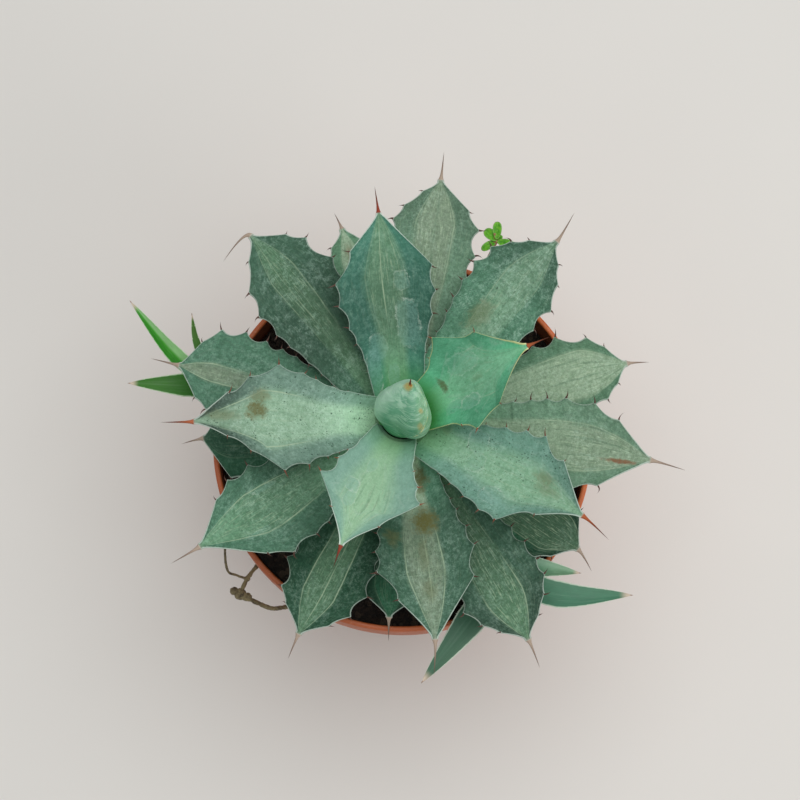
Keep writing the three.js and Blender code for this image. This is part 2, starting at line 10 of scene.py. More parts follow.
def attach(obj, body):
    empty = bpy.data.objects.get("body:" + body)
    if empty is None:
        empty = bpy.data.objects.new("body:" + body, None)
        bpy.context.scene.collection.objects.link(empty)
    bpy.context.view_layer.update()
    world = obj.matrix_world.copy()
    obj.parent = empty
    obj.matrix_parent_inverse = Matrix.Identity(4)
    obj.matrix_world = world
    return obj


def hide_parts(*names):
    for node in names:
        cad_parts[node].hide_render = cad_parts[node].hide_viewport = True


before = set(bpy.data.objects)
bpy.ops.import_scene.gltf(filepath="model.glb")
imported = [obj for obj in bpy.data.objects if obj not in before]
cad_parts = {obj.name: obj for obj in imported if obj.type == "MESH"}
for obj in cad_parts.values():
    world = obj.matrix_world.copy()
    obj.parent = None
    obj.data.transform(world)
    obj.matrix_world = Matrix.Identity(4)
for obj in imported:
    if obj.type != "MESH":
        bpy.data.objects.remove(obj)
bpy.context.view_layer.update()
print("frame loaded:", len(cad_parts), "nodes")

# A dwarf agave in a thin terracotta-coloured pot, seen almost from straight above.
# Lengths here are in millimetres and become metres when a mesh is made. Tones are web colours.
mm = 0.001


# Small helpers

def chance(a, b):
    # a repeatable number between 0 and 1, the same as in the part's source
    wave = math.sin(a * 12.9898 + b * 78.233) * 43758.5453
    return wave - math.floor(wave)


def lerp(a, b, share):
    return a + (b - a) * share


def smoothstep(value, low, high):
    share = np.clip((value - low) / (high - low), 0, 1)
    return share * share * (3 - 2 * share)


def unit(vector):
    return vector / max(np.linalg.norm(vector), 1e-9)


def colour(code, strength=1.0):
    # a web colour as linear light
    parts = [int(code[i:i + 2], 16) / 255 for i in (0, 2, 4)]
    linear = [p / 12.92 if p <= 0.04045 else ((p + 0.055) / 1.055) ** 2.4 for p in parts]
    return (*[min(p * strength, 1.0) for p in linear], 1.0)


# Making meshes

def ringAt(radius, height, sides, centreY=0.0):
    # a level ring of points round the pot's axis, or round an axis at centreY
    angles = np.arange(sides) / sides * math.tau
    return np.stack([
        radius * np.cos(angles), centreY + radius * np.sin(angles), np.full(sides, height),
    ], -1)


def loft(rings, tip=None):
    # joins rows of points into one closed form, its first row shut and its last shut or drawn to a tip
    rings = np.asarray(rings, float)
    rows, count = rings.shape[:2]
    grid = np.arange(rows * count).reshape(rows, count)
    low, high = grid[:-1], grid[1:]
    quads = np.stack([low, np.roll(low, -1, 1), np.roll(high, -1, 1), high], -1)
    faces = quads.reshape(-1, 4).tolist()
    points = rings.reshape(-1, 3)
    faces.append(grid[0][::-1].tolist())
    if tip is None:
        faces.append(grid[-1].tolist())
    else:
        points = np.vstack([points, tip])
        last = grid[-1].tolist()
        end = len(points) - 1
        faces += [[last[i], last[(i + 1) % count], end] for i in range(count)]
    return points, faces


class Gathering:
    # collects closed forms and their fields, and makes one mesh of them
    def __init__(self, *fields):
        self.points = []
        self.faces = []
        self.kinds = []
        self.count = 0
        self.fields = {name: [] for name in fields}

    def add(self, form, kind=0, **fields):
        points, faces = form
        self.points.append(points)
        self.faces += [[i + self.count for i in face] for face in faces]
        self.kinds += [kind] * len(faces)
        self.count += len(points)
        for name, values in self.fields.items():
            given = np.asarray(fields.get(name, 0.0), float).reshape(-1)
            if len(given) == 1:
                given = np.full(len(points), given[0])
            elif len(given) < len(points):
                given = np.append(given, given[-1])  # the tip is like the last row
            values.append(given)

    def build(self, name, *materials):
        mesh = bpy.data.meshes.new(name)
        mesh.from_pydata((np.vstack(self.points) * mm).tolist(), [], self.faces)
        mesh.polygons.foreach_set("material_index", self.kinds)
        mesh.polygons.foreach_set("use_smooth", [True] * len(mesh.polygons))
        for field, values in self.fields.items():
            layer = mesh.attributes.new(field, "FLOAT", "POINT")
            layer.data.foreach_set("value", np.concatenate(values).astype(np.float32))
        for material in materials:
            mesh.materials.append(material)
        whole = bmesh.new()
        whole.from_mesh(mesh)
        bmesh.ops.recalc_face_normals(whole, faces=whole.faces)
        whole.to_mesh(mesh)
        whole.free()
        piece = bpy.data.objects.new(name, mesh)
        bpy.context.scene.collection.objects.link(piece)
        return piece


def settle(piece, slot, *nodes):
    # the piece rides on the part's one body and stands for its nodes
    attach(piece, "root")
    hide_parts(*nodes)


def curvePoints(path, count, stepsBetween=24):
    # evenly spread points and directions on a smooth curve through the path
    path = [np.array(p, float) for p in path]
    ends = [2 * path[0] - path[1], *path, 2 * path[-1] - path[-2]]
    dense = []
    for a, b, c, d in zip(ends, ends[1:], ends[2:], ends[3:]):
        for t in np.linspace(0, 1, stepsBetween, endpoint=False):
            dense.append(0.5 * (
                2 * b + (c - a) * t + (2 * a - 5 * b + 4 * c - d) * t ** 2
                + (3 * b - a - 3 * c + d) * t ** 3
            ))
    dense = np.array([*dense, path[-1]])
    steps = np.linalg.norm(np.diff(dense, axis=0), axis=1)
    reach = np.concatenate([[0], np.cumsum(steps)])
    wanted = np.linspace(0, reach[-1], count)
    points = np.stack([np.interp(wanted, reach, dense[:, i]) for i in range(3)], -1)
    ways = np.gradient(points, axis=0)
    return points, ways / np.linalg.norm(ways, axis=1)[:, None]


def heading(azimuth, rise):
    turn, tilt = math.radians(azimuth), math.radians(rise)
    return np.array([math.cos(turn) * math.cos(tilt), math.sin(turn) * math.cos(tilt), math.sin(tilt)])


def crossways(way):
    # two directions square to a way: one level and to its left, and one up from it
    side = unit(np.array([-way[1] + 1e-6, way[0], 0.0]))
    return side, np.cross(way, side)


def rod(path, radius, rows, sides, rough=0.0, seed=0.0):
    # a round stem along a path. radius is a number, or gives one for each share of the length
    points, ways = curvePoints(path, rows)
    rings = []
    for i, (point, way) in enumerate(zip(points, ways)):
        side, up = crossways(way)
        size = radius(i / (rows - 1)) if callable(radius) else radius
        ring = []
        for k in range(sides):
            angle = k / sides * math.tau
            spot = Vector((math.cos(angle), math.sin(angle), i * 0.3 + seed * 9))
            swell = size * (1 + rough * noise.noise(spot))
            ring.append(point + swell * (math.cos(angle) * side + math.sin(angle) * up))
        rings.append(ring)
    return loft(rings)


# Making materials

class Mixture:
    # one material, painted in layers over a ground colour, with short names for the nodes that make it
    def __init__(self, name, ground):
        self.material = bpy.data.materials.new(name)
        self.material.use_nodes = True
        self.nodes = self.material.node_tree.nodes
        self.links = self.material.node_tree.links
        self.shader = self.nodes["Principled BSDF"]
        self.base = colour(*ground) if isinstance(ground, tuple) else colour(ground)

    def plug(self, value, socket):
        if isinstance(value, bpy.types.NodeSocket):
            self.links.new(value, socket)
        else:
            socket.default_value = value

    def node(self, kind, **settings):
        made = self.nodes.new("ShaderNode" + kind)
        for name, value in settings.items():
            setattr(made, name, value)
        return made

    def calc(self, operation, *values, clamp=False):
        made = self.node("Math", operation=operation, use_clamp=clamp)
        for value, socket in zip(values, made.inputs):
            self.plug(value, socket)
        return made.outputs[0]

    def times(self, first, *others):
        for other in others:
            first = self.calc("MULTIPLY", first, other)
        return first

    def plus(self, first, *others):
        for other in others:
            first = self.calc("ADD", first, other)
        return first

    def field(self, name):
        return self.node("Attribute", attribute_name=name).outputs["Fac"]

    def place(self):
        # the point in millimetres
        scaled = self.node("VectorMath", operation="SCALE")
        scaled.inputs["Scale"].default_value = 1000
        self.plug(self.node("TexCoord").outputs["Object"], scaled.inputs[0])
        return scaled.outputs[0]

    def split(self, vector):
        made = self.node("SeparateXYZ")
        self.plug(vector, made.inputs[0])
        return made.outputs

    def vector(self, x, y, z=0.0):
        made = self.node("CombineXYZ")
        for value, socket in zip((x, y, z), made.inputs):
            self.plug(value, socket)
        return made.outputs[0]

    def noise(self, vector, scale, detail=3.0, roughness=0.55, warp=0.0):
        made = self.node("TexNoise")
        self.plug(vector, made.inputs["Vector"])
        made.inputs["Scale"].default_value = scale
        made.inputs["Detail"].default_value = detail
        made.inputs["Roughness"].default_value = roughness
        made.inputs["Distortion"].default_value = warp
        return made.outputs["Fac"]

    def dots(self, vector, scale, size):
        # round spots of uneven size, at most one in each cell
        made = self.node("TexVoronoi")
        self.plug(vector, made.inputs["Vector"])
        made.inputs["Scale"].default_value = scale
        parts = self.node("SeparateColor")
        self.plug(made.outputs["Color"], parts.inputs[0])
        room = self.calc("MULTIPLY", self.calc("POWER", parts.outputs[0], 3.0), size)
        left = self.calc("SUBTRACT", room, made.outputs["Distance"])
        return self.ramp(left, -0.03, 0.05)

    def ramp(self, value, low, high, start=0.0, end=1.0):
        # eases from start to end as the value goes from low to high
        made = self.node("MapRange", interpolation_type="SMOOTHSTEP")
        for item, socket in zip((value, low, high, start, end), made.inputs):
            self.plug(item, socket)
        return made.outputs["Result"]

    def sway(self, value, reach):
        # a noise as a push of up to reach to either side
        return self.calc("MULTIPLY_ADD", value, 2 * reach, -reach)

    def line(self, value, middle, width):
        # 1 where the value is at the middle, fading to 0 over the width
        away = self.calc("ABSOLUTE", self.calc("SUBTRACT", value, middle))
        return self.ramp(away, 0.0, width, 1.0, 0.0)

    def away(self, reach, across, at, aside, long, wide, power):
        # how far from a spot, 1 on an oval round it, which is squarer with a power over 2 and more of a
        # diamond under 2
        shares = []
        for value, middle, half in ((reach, at, long), (across, aside, wide)):
            far = self.calc("ABSOLUTE", self.calc("DIVIDE", self.calc("SUBTRACT", value, middle), half))
            shares.append(self.calc("POWER", far, power))
        return self.calc("POWER", self.plus(*shares), 1.0 / power)

    def blend(self, share, under, over, mode="MIX"):
        made = self.node("Mix", data_type="RGBA", blend_type=mode)
        self.plug(share, made.inputs[0])
        self.plug(under, made.inputs[6])
        self.plug(over, made.inputs[7])
        return made.outputs[2]

    def shaded(self, base, share, dark, light):
        # the base colour times a grey that goes from dark to light with the share
        made = self.node("CombineColor")
        grey = self.calc("MULTIPLY_ADD", share, light - dark, dark)
        for socket in made.inputs:
            self.plug(grey, socket)
        return self.blend(1.0, base, made.outputs[0], "MULTIPLY")

    def paint(self, tone, share, strength=1.0, mode="MIX"):
        # one more layer over the base, of a web colour or a mixed one, as dense as share times strength
        over = colour(tone) if isinstance(tone, str) else tone
        dense = share if strength == 1.0 else self.times(share, strength)
        self.base = self.blend(dense, self.base, over, mode)

    def shade(self, share, dark, light):
        self.base = self.shaded(self.base, share, dark, light)

    def finish(self, roughness, height=None, depth=0.2, strength=0.6, specular=0.5):
        # height is a bump in shares of depth, which is in millimetres
        self.plug(self.base, self.shader.inputs["Base Color"])
        self.plug(roughness, self.shader.inputs["Roughness"])
        self.shader.inputs["Specular IOR Level"].default_value = specular
        if height is not None:
            bump = self.node("Bump")
            bump.inputs["Strength"].default_value = strength
            bump.inputs["Distance"].default_value = depth * mm
            self.plug(height, bump.inputs["Height"])
            self.plug(bump.outputs[0], self.shader.inputs["Normal"])
        return self.material


# The pot: thin, round and tapered, with a collar under its rim and drain holes in its floor

potLook = {
    "rimRadius": 75.0,
    "height": 125.0,
    "baseRadius": 54.0,
    "wall": 2.2,
    "collarHeight": 20.0,
    "collarStep": 3.0,
    "floorThickness": 3.0,
    "drainRadius": 4.0,
    "drainDistance": 36.0,  # from the pot's axis
    "drainHoles": 6,
    "drainSides": 32,
    "sides": 180,
    "innerShadeDepth": 18.0,  # depth of the painted shade under the rim, on the inside
    "clay": "C86636",
    "darkClay": "B05A2E",
    "dust": "D39A78",
    # painted shade for the inside of the collar
    "innerShade": "4A2417",
}


def potSkin():
    p = potLook
    skin = Mixture("terracottaPlastic", p["clay"])
    place = skin.place()
    cloud = skin.noise(place, 0.03, 5, warp=0.4)
    grain = skin.noise(place, 1.1, 5, 0.65)
    scratch = skin.noise(place, 0.35, 6, 0.7, 1.5)
    skin.paint(p["darkClay"], skin.ramp(cloud, 0.35, 0.7))
    skin.paint(p["dust"], skin.ramp(scratch, 0.5, 0.72), 0.35)
    skin.shade(grain, 0.85, 1.15)
    x, y, z = skin.split(place)
    # painted light and shade across the whole pot: lighter towards +x and +y, darker towards -x and -y
    skin.shade(skin.ramp(skin.plus(x, y), -80.0, 80.0), 0.8, 1.25)
    # painted shade on the inside of the collar, under the rim
    fromAxis = skin.calc("SQRT", skin.plus(skin.times(x, x), skin.times(y, y)))
    inner, high = p["rimRadius"] - p["wall"], p["height"]
    low = high - p["innerShadeDepth"]
    inside = skin.times(skin.ramp(fromAxis, inner + 0.5, inner + 0.1), skin.ramp(z, low, low + 2),
                        skin.ramp(z, high - 0.2, high - 1.5))
    skin.paint(p["innerShade"], inside, 0.85)
    rough = skin.ramp(scratch, 0.3, 0.7, 0.42, 0.66)
    return skin.finish(rough, skin.plus(grain, scratch), 0.12, 0.35)


def drillHoles(pot):
    # the drain holes, on a circle round the middle of the floor
    p = potLook
    drills = Gathering()
    for angle in np.arange(p["drainHoles"]) / p["drainHoles"] * math.tau:
        hole = np.array([
            ringAt(p["drainRadius"], height, p["drainSides"]) for height in (-2, p["floorThickness"] + 1)
        ])
        hole[:, :, 0] += p["drainDistance"] * math.cos(angle)
        hole[:, :, 1] += p["drainDistance"] * math.sin(angle)
        drills.add(loft(hole))
    drill = drills.build("drill")
    cut = pot.modifiers.new("drainHoles", "BOOLEAN")
    cut.object = drill
    cut.solver = "EXACT"
    drilled = bpy.data.meshes.new_from_object(pot.evaluated_get(bpy.context.evaluated_depsgraph_get()))
    pot.modifiers.clear()
    pot.data = drilled
    bpy.data.objects.remove(drill)


def makePot():
    p = potLook
    rim, top, wall = p["rimRadius"], p["height"], p["wall"]
    foot, floor = p["baseRadius"], p["floorThickness"]
    neck = rim - p["collarStep"]
    collarFoot = top - p["collarHeight"]
    profile = [
        # the foot's rounded edge and the tapered wall
        (foot - 6, 1.2), (foot - 4, 0.4), (foot - 3, 0), (foot - 1, 0), (foot - 0.3, 0.4), (foot, 1.4),
        (lerp(foot, neck, 0.5), collarFoot / 2), (neck - 0.1, collarFoot - 1.2),
        # the collar
        (neck + 0.3, collarFoot - 0.4), (rim - 1, collarFoot - 0.1), (rim - 0.3, collarFoot + 0.4),
        (rim - 0.15, collarFoot + 1.2), (rim, top - 1.2),
        # the rim's rounded lip
        (rim - 0.12, top - 0.6), (rim - 0.45, top - 0.15), (rim - 0.9, top), (rim - wall + 0.7, top),
        (rim - wall + 0.3, top - 0.15), (rim - wall, top - 0.7),
        # the inside, down to the floor
        (rim - wall, collarFoot + 3.4), (neck - wall + 0.3, collarFoot + 0.4), (neck - wall, collarFoot - 1),
        (foot - wall + 0.4, floor + 1.5), (foot - wall - 1.2, floor),
    ]
    body = Gathering()
    body.add(loft([ringAt(radius, height, p["sides"]) for radius, height in profile]))
    pot = body.build("pottedPot", potSkin())
    pot.data.polygons.foreach_set("use_smooth", [len(f.vertices) < 5 for f in pot.data.polygons])
    drillHoles(pot)
    settle(pot, "pot", "pot")


makePot()
print("pot made")


# The soil: a crumbly dark mix with coarse grains and bits of bark on it

soilLook = {
    "height": 111.0,
    "lumps": 2.6,
    "foot": 3.4,  # the heap's underside, on the pot's floor
    "radius": 72.0,
    "sides": 150,
    "rings": 58,
    "grains": 620,
    "dark": "1A1511",
    "brown": "3B2D22",
    "bits": "6A5946",
}


def soilHeightAt(x, y):
    coarse = noise.fractal(Vector((x * 0.07, y * 0.07, 3.1)), 1.0, 2.0, 3)
    fine = noise.fractal(Vector((x * 0.45, y * 0.45, 8.2)), 0.9, 2.1, 3)
    return soilLook["height"] + soilLook["lumps"] * 0.45 * coarse + 0.55 * fine


def soilSkin():
    s = soilLook
    skin = Mixture("pottingSoil", s["dark"])
    place = skin.place()
    clods = skin.noise(place, 0.5, 6, 0.7)
    crumbs = skin.noise(place, 2.4, 4, 0.7)
    skin.paint(s["brown"], skin.ramp(clods, 0.4, 0.68))
    skin.paint(s["bits"], skin.dots(place, 0.4, 0.75), 0.35)
    skin.shade(crumbs, 0.6, 1.3)
    return skin.finish(skin.ramp(crumbs, 0.3, 0.7, 0.82, 0.98), skin.plus(clods, crumbs), 0.9, 0.9)


def soilGrain(i):
    # one uneven crumb or bit of bark, half sunk in the heap
    s = soilLook
    angle = chance(i, 1.1) * math.tau
    radius = (s["radius"] - 3) * math.sqrt(lerp(0.08, 1, chance(i, 2.2)))
    x, y = radius * math.cos(angle), radius * math.sin(angle)
    size = lerp(0.5, 1.9, chance(i, 3.3) ** 2)
    rows = []
    for level in (-0.75, -0.2, 0.35, 0.8):
        row = ringAt(size * math.sqrt(1 - level * level), size * 0.7 * level, 7)
        for point in row:
            point *= 1 + 0.3 * noise.noise(Vector(point) * 1.3 + Vector((i, 0, 0)))
        rows.append(row)
    grain = np.array(rows)
    grain[:, :, 0] *= lerp(0.7, 1.5, chance(i, 4.4))
    turn = chance(i, 5.5) * math.pi
    spun = grain.copy()
    spun[:, :, 0] = grain[:, :, 0] * math.cos(turn) - grain[:, :, 1] * math.sin(turn) + x
    spun[:, :, 1] = grain[:, :, 0] * math.sin(turn) + grain[:, :, 1] * math.cos(turn) + y
    spun[:, :, 2] += soilHeightAt(x, y) + size * 0.25
    return spun


def makeSoil():
    s = soilLook
    neckInside = potLook["rimRadius"] - potLook["collarStep"] - potLook["wall"] - 0.4
    collarFoot = potLook["height"] - potLook["collarHeight"]
    rings = [
        ringAt(potLook["baseRadius"] - potLook["wall"] - 0.6, s["foot"], s["sides"]),
        ringAt(neckInside, collarFoot, s["sides"]),
        ringAt(s["radius"], collarFoot + 3.8, s["sides"]),
    ]
    for radius in np.linspace(s["radius"], 1.0, s["rings"]):
        ring = ringAt(radius, 0, s["sides"])
        ring[:, 2] = [soilHeightAt(x, y) for x, y in ring[:, :2]]
        rings.append(ring)
    heap = Gathering()
    heap.add(loft(rings))
    for i in range(s["grains"]):
        heap.add(loft(soilGrain(i)))
    settle(heap.build("pottingMix", soilSkin()), "soil", "soil")


makeSoil()
print("soil made")


# The rosette: the forms that every leaf shares. The same numbers drive the part's solids.

rosette = {
    "axisY": 5.6,  # the stem stands behind the pot's axis
    "stemTop": 151.0,
    "stemTopRadius": 9.0,
    "stemFootRadius": 12.8,
    "stemFoot": 96.0,
    "stemStraight": 114.0,
    "firstStep": 2.35,  # how far each leaf stands under the last
    "stepLoss": 0.02,
    "clasp": 54.0,  # half the angle that a leaf's foot takes round the stem
    "footGap": 0.65,
    "neckHalf": 11.5,
    "neckEnd": 0.13,  # share of the length where the neck starts to widen
    "footThick": 3.4,
    "tipThick": 1.8,
    "marginThick": 0.9,
    "bow": 0.3,  # how much steeper than its mean slope a leaf starts
    "crease": 0.42,  # share of the half width from which the margins fold up
    "spineBend": 0.2,
    "toothLength": 2.0,
    "toothHalfBase": 0.75,
    "toothSpacing": (4.4, 8.6, 5.2),  # near the foot, along the middle and near the tip
    "toothStart": 0.17,
    "toothRings": (0.0, 0.18, 0.36, 0.54, 0.72, 0.88),
    "toothSides": 8,
    "marginStart": 0.05,
    "marginWave": 1.1,
    "scallop": 0.24,  # how deep the margin dips between two teeth, in shares of their gap
    "endHollow": (0.2, 1.0),  # of the smooth margin by the tip, for a full leaf and a slim one
    "toothedShare": (0.6, 0.8),
    "rows": 160,  # fineness of each leaf's mesh
    "columns": 17,
    "underColumns": 8,
    "spineRows": 16,
}


def stemRadiusAt(height):
    r = rosette
    share = np.clip((height - r["stemStraight"]) / (r["stemTop"] - r["stemStraight"]), 0, 1)
    return lerp(r["stemFootRadius"], r["stemTopRadius"], share)


stemLook = {
    "rows": 90,
    "sides": 64,
    "ridge": 0.12,
    "skin": "8E9A6E",
    "rings": "B8BD93",
    "green": "3F8A48",
    "greenFrom": (144, 149),  # heights between which the stem turns green
}


def stemSkin():
    s = stemLook
    skin = Mixture("paleStem", s["skin"])
    height = skin.field("height")
    rings = skin.noise(skin.vector(0.0, 0.0, height), 1.4, 3)
    skin.paint(s["rings"], skin.ramp(rings, 0.4, 0.6))
    skin.paint(s["green"], skin.ramp(height, *s["greenFrom"]))
    skin.shade(skin.noise(skin.place(), 0.9, 4), 0.75, 1.15)
    return skin.finish(0.7, rings, 0.4, 0.5)


def makeStem():
    s = stemLook
    heights = np.linspace(rosette["stemFoot"], rosette["stemTop"], s["rows"])
    rings = []
    for height in heights:
        scar = s["ridge"] * math.sin(height * 2.6) - s["ridge"]
        rings.append(ringAt(stemRadiusAt(height) + scar, height, s["sides"], rosette["axisY"]))
    stem = Gathering("height")
    stem.add(loft(rings), height=np.repeat(heights, s["sides"]))
    settle(stem.build("shortStem", stemSkin()), "stem", "stem")


makeStem()
print("stem made")


# The bud: young leaves wrapped into a plump cone of three soft sides, with one small spine

budLook = {
    "foot": 151.3,
    "height": 38.0,
    "lean": (2.9, 4.8),  # of the tip, in x and y
    "leanCurve": 1.38,
    # share of the height, and radius there
    "profile": [(0, 8.4), (0.06, 8.9), (0.2, 9.8), (0.38, 9.7), (0.55, 8.3), (0.7, 6.3),
                (0.82, 4.2), (0.91, 2.4), (0.96, 1.3), (1.0, 0.6)],
    "corner": 66.0,  # azimuth of one of its three soft corners
    "cornerSwell": 0.126,
    "broad": 145.0,  # azimuth in which it is broadest
    "broadSwell": 0.13,
    "wrapStep": 0.9,  # where the outer leaf's edge stands off the next
    "innerStep": 0.3,
    # share of the height, and azimuth of that edge
    "wrapLine": [(0, -100), (0.3, -72), (0.5, -52), (0.68, -22), (0.8, 12), (0.9, 50), (1.0, 120)],
    # foot, bend and tip of the spine, from the middle of the cone's top
    "spine": [(-0.3, 0, 0.2), (-0.1, 0.6, 1.6), (0.1, 1.8, 3.2)],
    # share of the spine, and its height for the look
    "spineRows": [(0.25, 1.2), (0.5, 1.5), (0.75, 1.75), (0.93, 1.95)],
    "sides": 144,
    "rows": 80,
    "skin": "78B494",
    "shadow": "3C8A66",
    "bloom": "B4DCC2",
    "warm": "8CB486",
    "margin": "E3D58E",
    "disc": "C4A650",
    # dark green at the bud's foot: partly its own green, partly painted shade where it meets the leaves
    "footGreenShade": "2C7A4A",
    # x, y, radius and strength
    "spots": [(2.1, 10.5, 0.85, 0.85), (6.8, 2.9, 0.4, 0.6), (6.6, -1.6, 0.5, 0.5)],
    "horn": "B8782C",
    "hornTip": "5A3018",
}


def budSkin():
    b = budLook
    skin = Mixture("budFlesh", b["skin"])
    place = skin.place()
    height, turn, wrap = skin.field("height"), skin.field("turn"), skin.field("wrap")
    x, y, _ = skin.split(place)
    cloud = skin.noise(place, 0.16, 4, warp=0.8)
    grain = skin.noise(place, 1.6, 5, 0.75)
    arcs = skin.noise(skin.vector(skin.times(turn, 2.2), skin.times(height, 9.0)), 1.2, 2, warp=1.2)
    skin.paint(b["bloom"], skin.ramp(cloud, 0.4, 0.62))
    # painted shade on the lower-left side, and a painted highlight in the bloom tone on the upper-left side
    skin.paint(b["shadow"], skin.ramp(skin.plus(y, skin.times(x, 0.4)), 7.0, -4.0), 0.8)
    skin.paint(b["bloom"], skin.ramp(skin.plus(y, skin.times(x, -0.9)), 7.0, 15.0), 0.7)
    skin.paint(b["warm"], skin.ramp(x, 3.0, 8.0), 0.6)
    skin.paint(b["bloom"], skin.line(arcs, 0.5, 0.035), 0.75)
    skin.shade(grain, 0.78, 1.22)
    # dark green at the foot: partly the bud's own green, partly painted shade where it meets the leaf feet
    skin.paint(b["footGreenShade"], skin.ramp(height, 0.2, 0.05), 0.8)
    patchy = skin.ramp(skin.noise(place, 0.55, 2), 0.42, 0.62)
    edge = skin.times(skin.line(wrap, 0.35, 0.6), patchy, skin.ramp(height, 0.2, 0.4))
    skin.paint(b["margin"], edge, 0.75)
    broken = skin.ramp(grain, 0.36, 0.5, 0.3, 1.0)
    for middleX, middleY, radius, strength in b["spots"]:
        away = skin.away(x, y, middleX, middleY, radius * 2.4, radius * 2.4, 1.6)
        spot = skin.times(skin.ramp(away, 1.3, 0.4), skin.ramp(height, 0.3, 0.4), broken)
        skin.paint(b["disc"], spot, strength)
    horn = skin.blend(skin.ramp(height, 1.02, 1.4), colour(b["horn"]), colour(b["hornTip"]))
    skin.paint(horn, skin.ramp(height, 0.99, 1.06))
    bump = skin.plus(skin.times(arcs, 0.5), skin.times(grain, 0.4))
    skin.shader.inputs["Subsurface Weight"].default_value = 0.06
    skin.shader.inputs["Subsurface Radius"].default_value = (0.4, 0.8, 0.3)
    skin.shader.inputs["Subsurface Scale"].default_value = 0.002
    return skin.finish(skin.ramp(cloud, 0.3, 0.7, 0.45, 0.6), bump, 0.15, 0.4)


def makeBud():
    b = budLook
    sides = b["sides"]
    shares = np.linspace(0, 1, b["rows"])
    radii = np.interp(shares, *zip(*b["profile"]))
    for _ in range(3):  # eases the corners of the profile
        radii[1:-1] = (radii[:-2] + 2 * radii[1:-1] + radii[2:]) / 4
    angles = np.arange(sides) / sides * 360
    rings, turns, wraps = [], [], []
    for share, radius in zip(shares, radii):
        # the outer leaf's edge winds up the cone, and the next one's shows opposite it
        wrapAt = np.interp(share, *zip(*b["wrapLine"]))
        past = (angles - wrapAt) % 360
        step = b["wrapStep"] * (0.5 - past / 360) * min(share * 4, 1) * min((1 - share) * 3 + 0.15, 1)
        second = (angles - wrapAt - 190) % 360
        step = step + b["innerStep"] * (0.5 - second / 360) * min(share * 3, 1) * min((1 - share) * 5, 1)
        swell = b["cornerSwell"] * np.cos(np.radians(3 * (angles - b["corner"])))
        swell += b["broadSwell"] * np.cos(np.radians(2 * (angles - b["broad"])))
        reach = radius * (1 + smoothstep(share, 0.03, 0.2) * swell) + step
        leaning = share ** b["leanCurve"]
        x = reach * np.cos(np.radians(angles)) + b["lean"][0] * leaning
        y = rosette["axisY"] + reach * np.sin(np.radians(angles)) + b["lean"][1] * leaning
        rings.append(np.stack([x, y, np.full(sides, b["foot"] + share * b["height"])], -1))
        turns.append(past / 360)
        wraps.append(np.radians(past) * radius)
    top = rings[-1].mean(0)
    foot, bend, tip = [top + np.array(point) for point in b["spine"]]
    flat = rings[-1] - top
    for share, _ in b["spineRows"]:
        flat = flat * 0.72
        rings.append((1 - share) ** 2 * foot + 2 * share * (1 - share) * bend + share ** 2 * tip + flat)
        turns.append(turns[-1])
        wraps.append(wraps[-1] + 50)
    heights = [*shares, *[height for _, height in b["spineRows"]]]
    bud = Gathering("height", "turn", "wrap")
    bud.add(
        loft(rings, tip), height=np.repeat(heights, sides),
        turn=np.concatenate(turns), wrap=np.concatenate(wraps),
    )
    settle(bud.build("wrappedBud", budSkin()), "bud", "bud")


makeBud()
print("bud made")


# The leaves, from the youngest to the oldest. Their tones are shared.

tones = {
    "fresh": "98C09C",
    "blue": "82A998",
    "vivid": "74B08C",
    "green": "549A78",
    "pale": "8CAC92",
    "grey": "6C8A7B",
    "sage": "7BA386",
    "haze": "6F9988",
    "jade": "5A8165",
    "teal": "3D705F",
    "deep": "48705A",
    "moss": "52765A",
    "cream": "7D927A",
    "dusk": "2A5840",
    "under": "BFE0C8",
    "bloom": "A9C4B4",
    "ghost": "86AFA6",
    "streakPale": "A9BE9F",
    "streakDark": "466A52",
    "borderLine": "A6BB9C",
    "rimLine": "C9D8CC",
    "youngRim": "D5D69A",
    "foot": "469A4A",
    "speck": "2F4A3A",
    "stain": "5F5F33",
    "brownStain": "7A4E30",
    "freshHorn": "A4552E",
    "redHorn": "8C3B28",
    "oldHorn": "A99C8C",
    "hornTip": "4F2A1E",
    "oldHornTip": "6E5C50",
    "toothFresh": "8A4A2C",
    "toothOld": "3A261D",
    "toothTip": "21130E",
}

plainLeaf = {
    "stripe": 0.46,  # share of the half width that the stripe takes
    "soft": 0.1,  # how softly the stripe ends
    "lines": 0.4,  # light lines along its borders
    "midline": 0.0,
    "streaks": 0.5,
    "clouds": 0.7,  # deeper green
    "bloom": 0.5,  # pale dust
    "stipple": 0.25,  # fine grain
    "specks": 0.35,
    "imprint": 0.2,  # prints that follow the leaf's own margins
    "prints": [],  # other leaves' prints: along, across, length, width, strength
    "stains": [],  # tone, along, across, length, width, strength
    "foot": 0.0,  # green round the bud
    "footLight": 1.6,  # painted light of the whole blade at its foot and at its tip
    "tipLight": 1.0,
    "rimTip": 1.0,  # painted light of the margins alone at the tip
    "paleRim": 0.6,
    "rimTone": "rimLine",
    "flare": 1.35,  # half width at the tip in mm
    "horn": 0.9,  # age of the end spine, from 0, fresh and red, to 1, grey
    "hornTone": "freshHorn",
    "teeth": 0.85,  # age of the teeth, from 0 to 1
    "toothScale": 1.3,
}


def agaveLeaf(azimuth, reach, tip, half, widest, taper, fold, spine, margins, middle, **look):
    # reach, tip and half widths are in mm, widest is a share of the length, spine is its length, azimuth and
    # rise, and margins and middle give the tone of the margins and of the stripe and a light factor for each,
    # partly their own lightness and partly painted light and shade
    form = {
        "azimuth": azimuth, "reach": reach, "tip": tip, "half": half, "widest": widest, "taper": taper,
        "fold": fold, "spine": spine, "margins": margins, "middle": middle,
    }
    return {**plainLeaf, **form, **look}


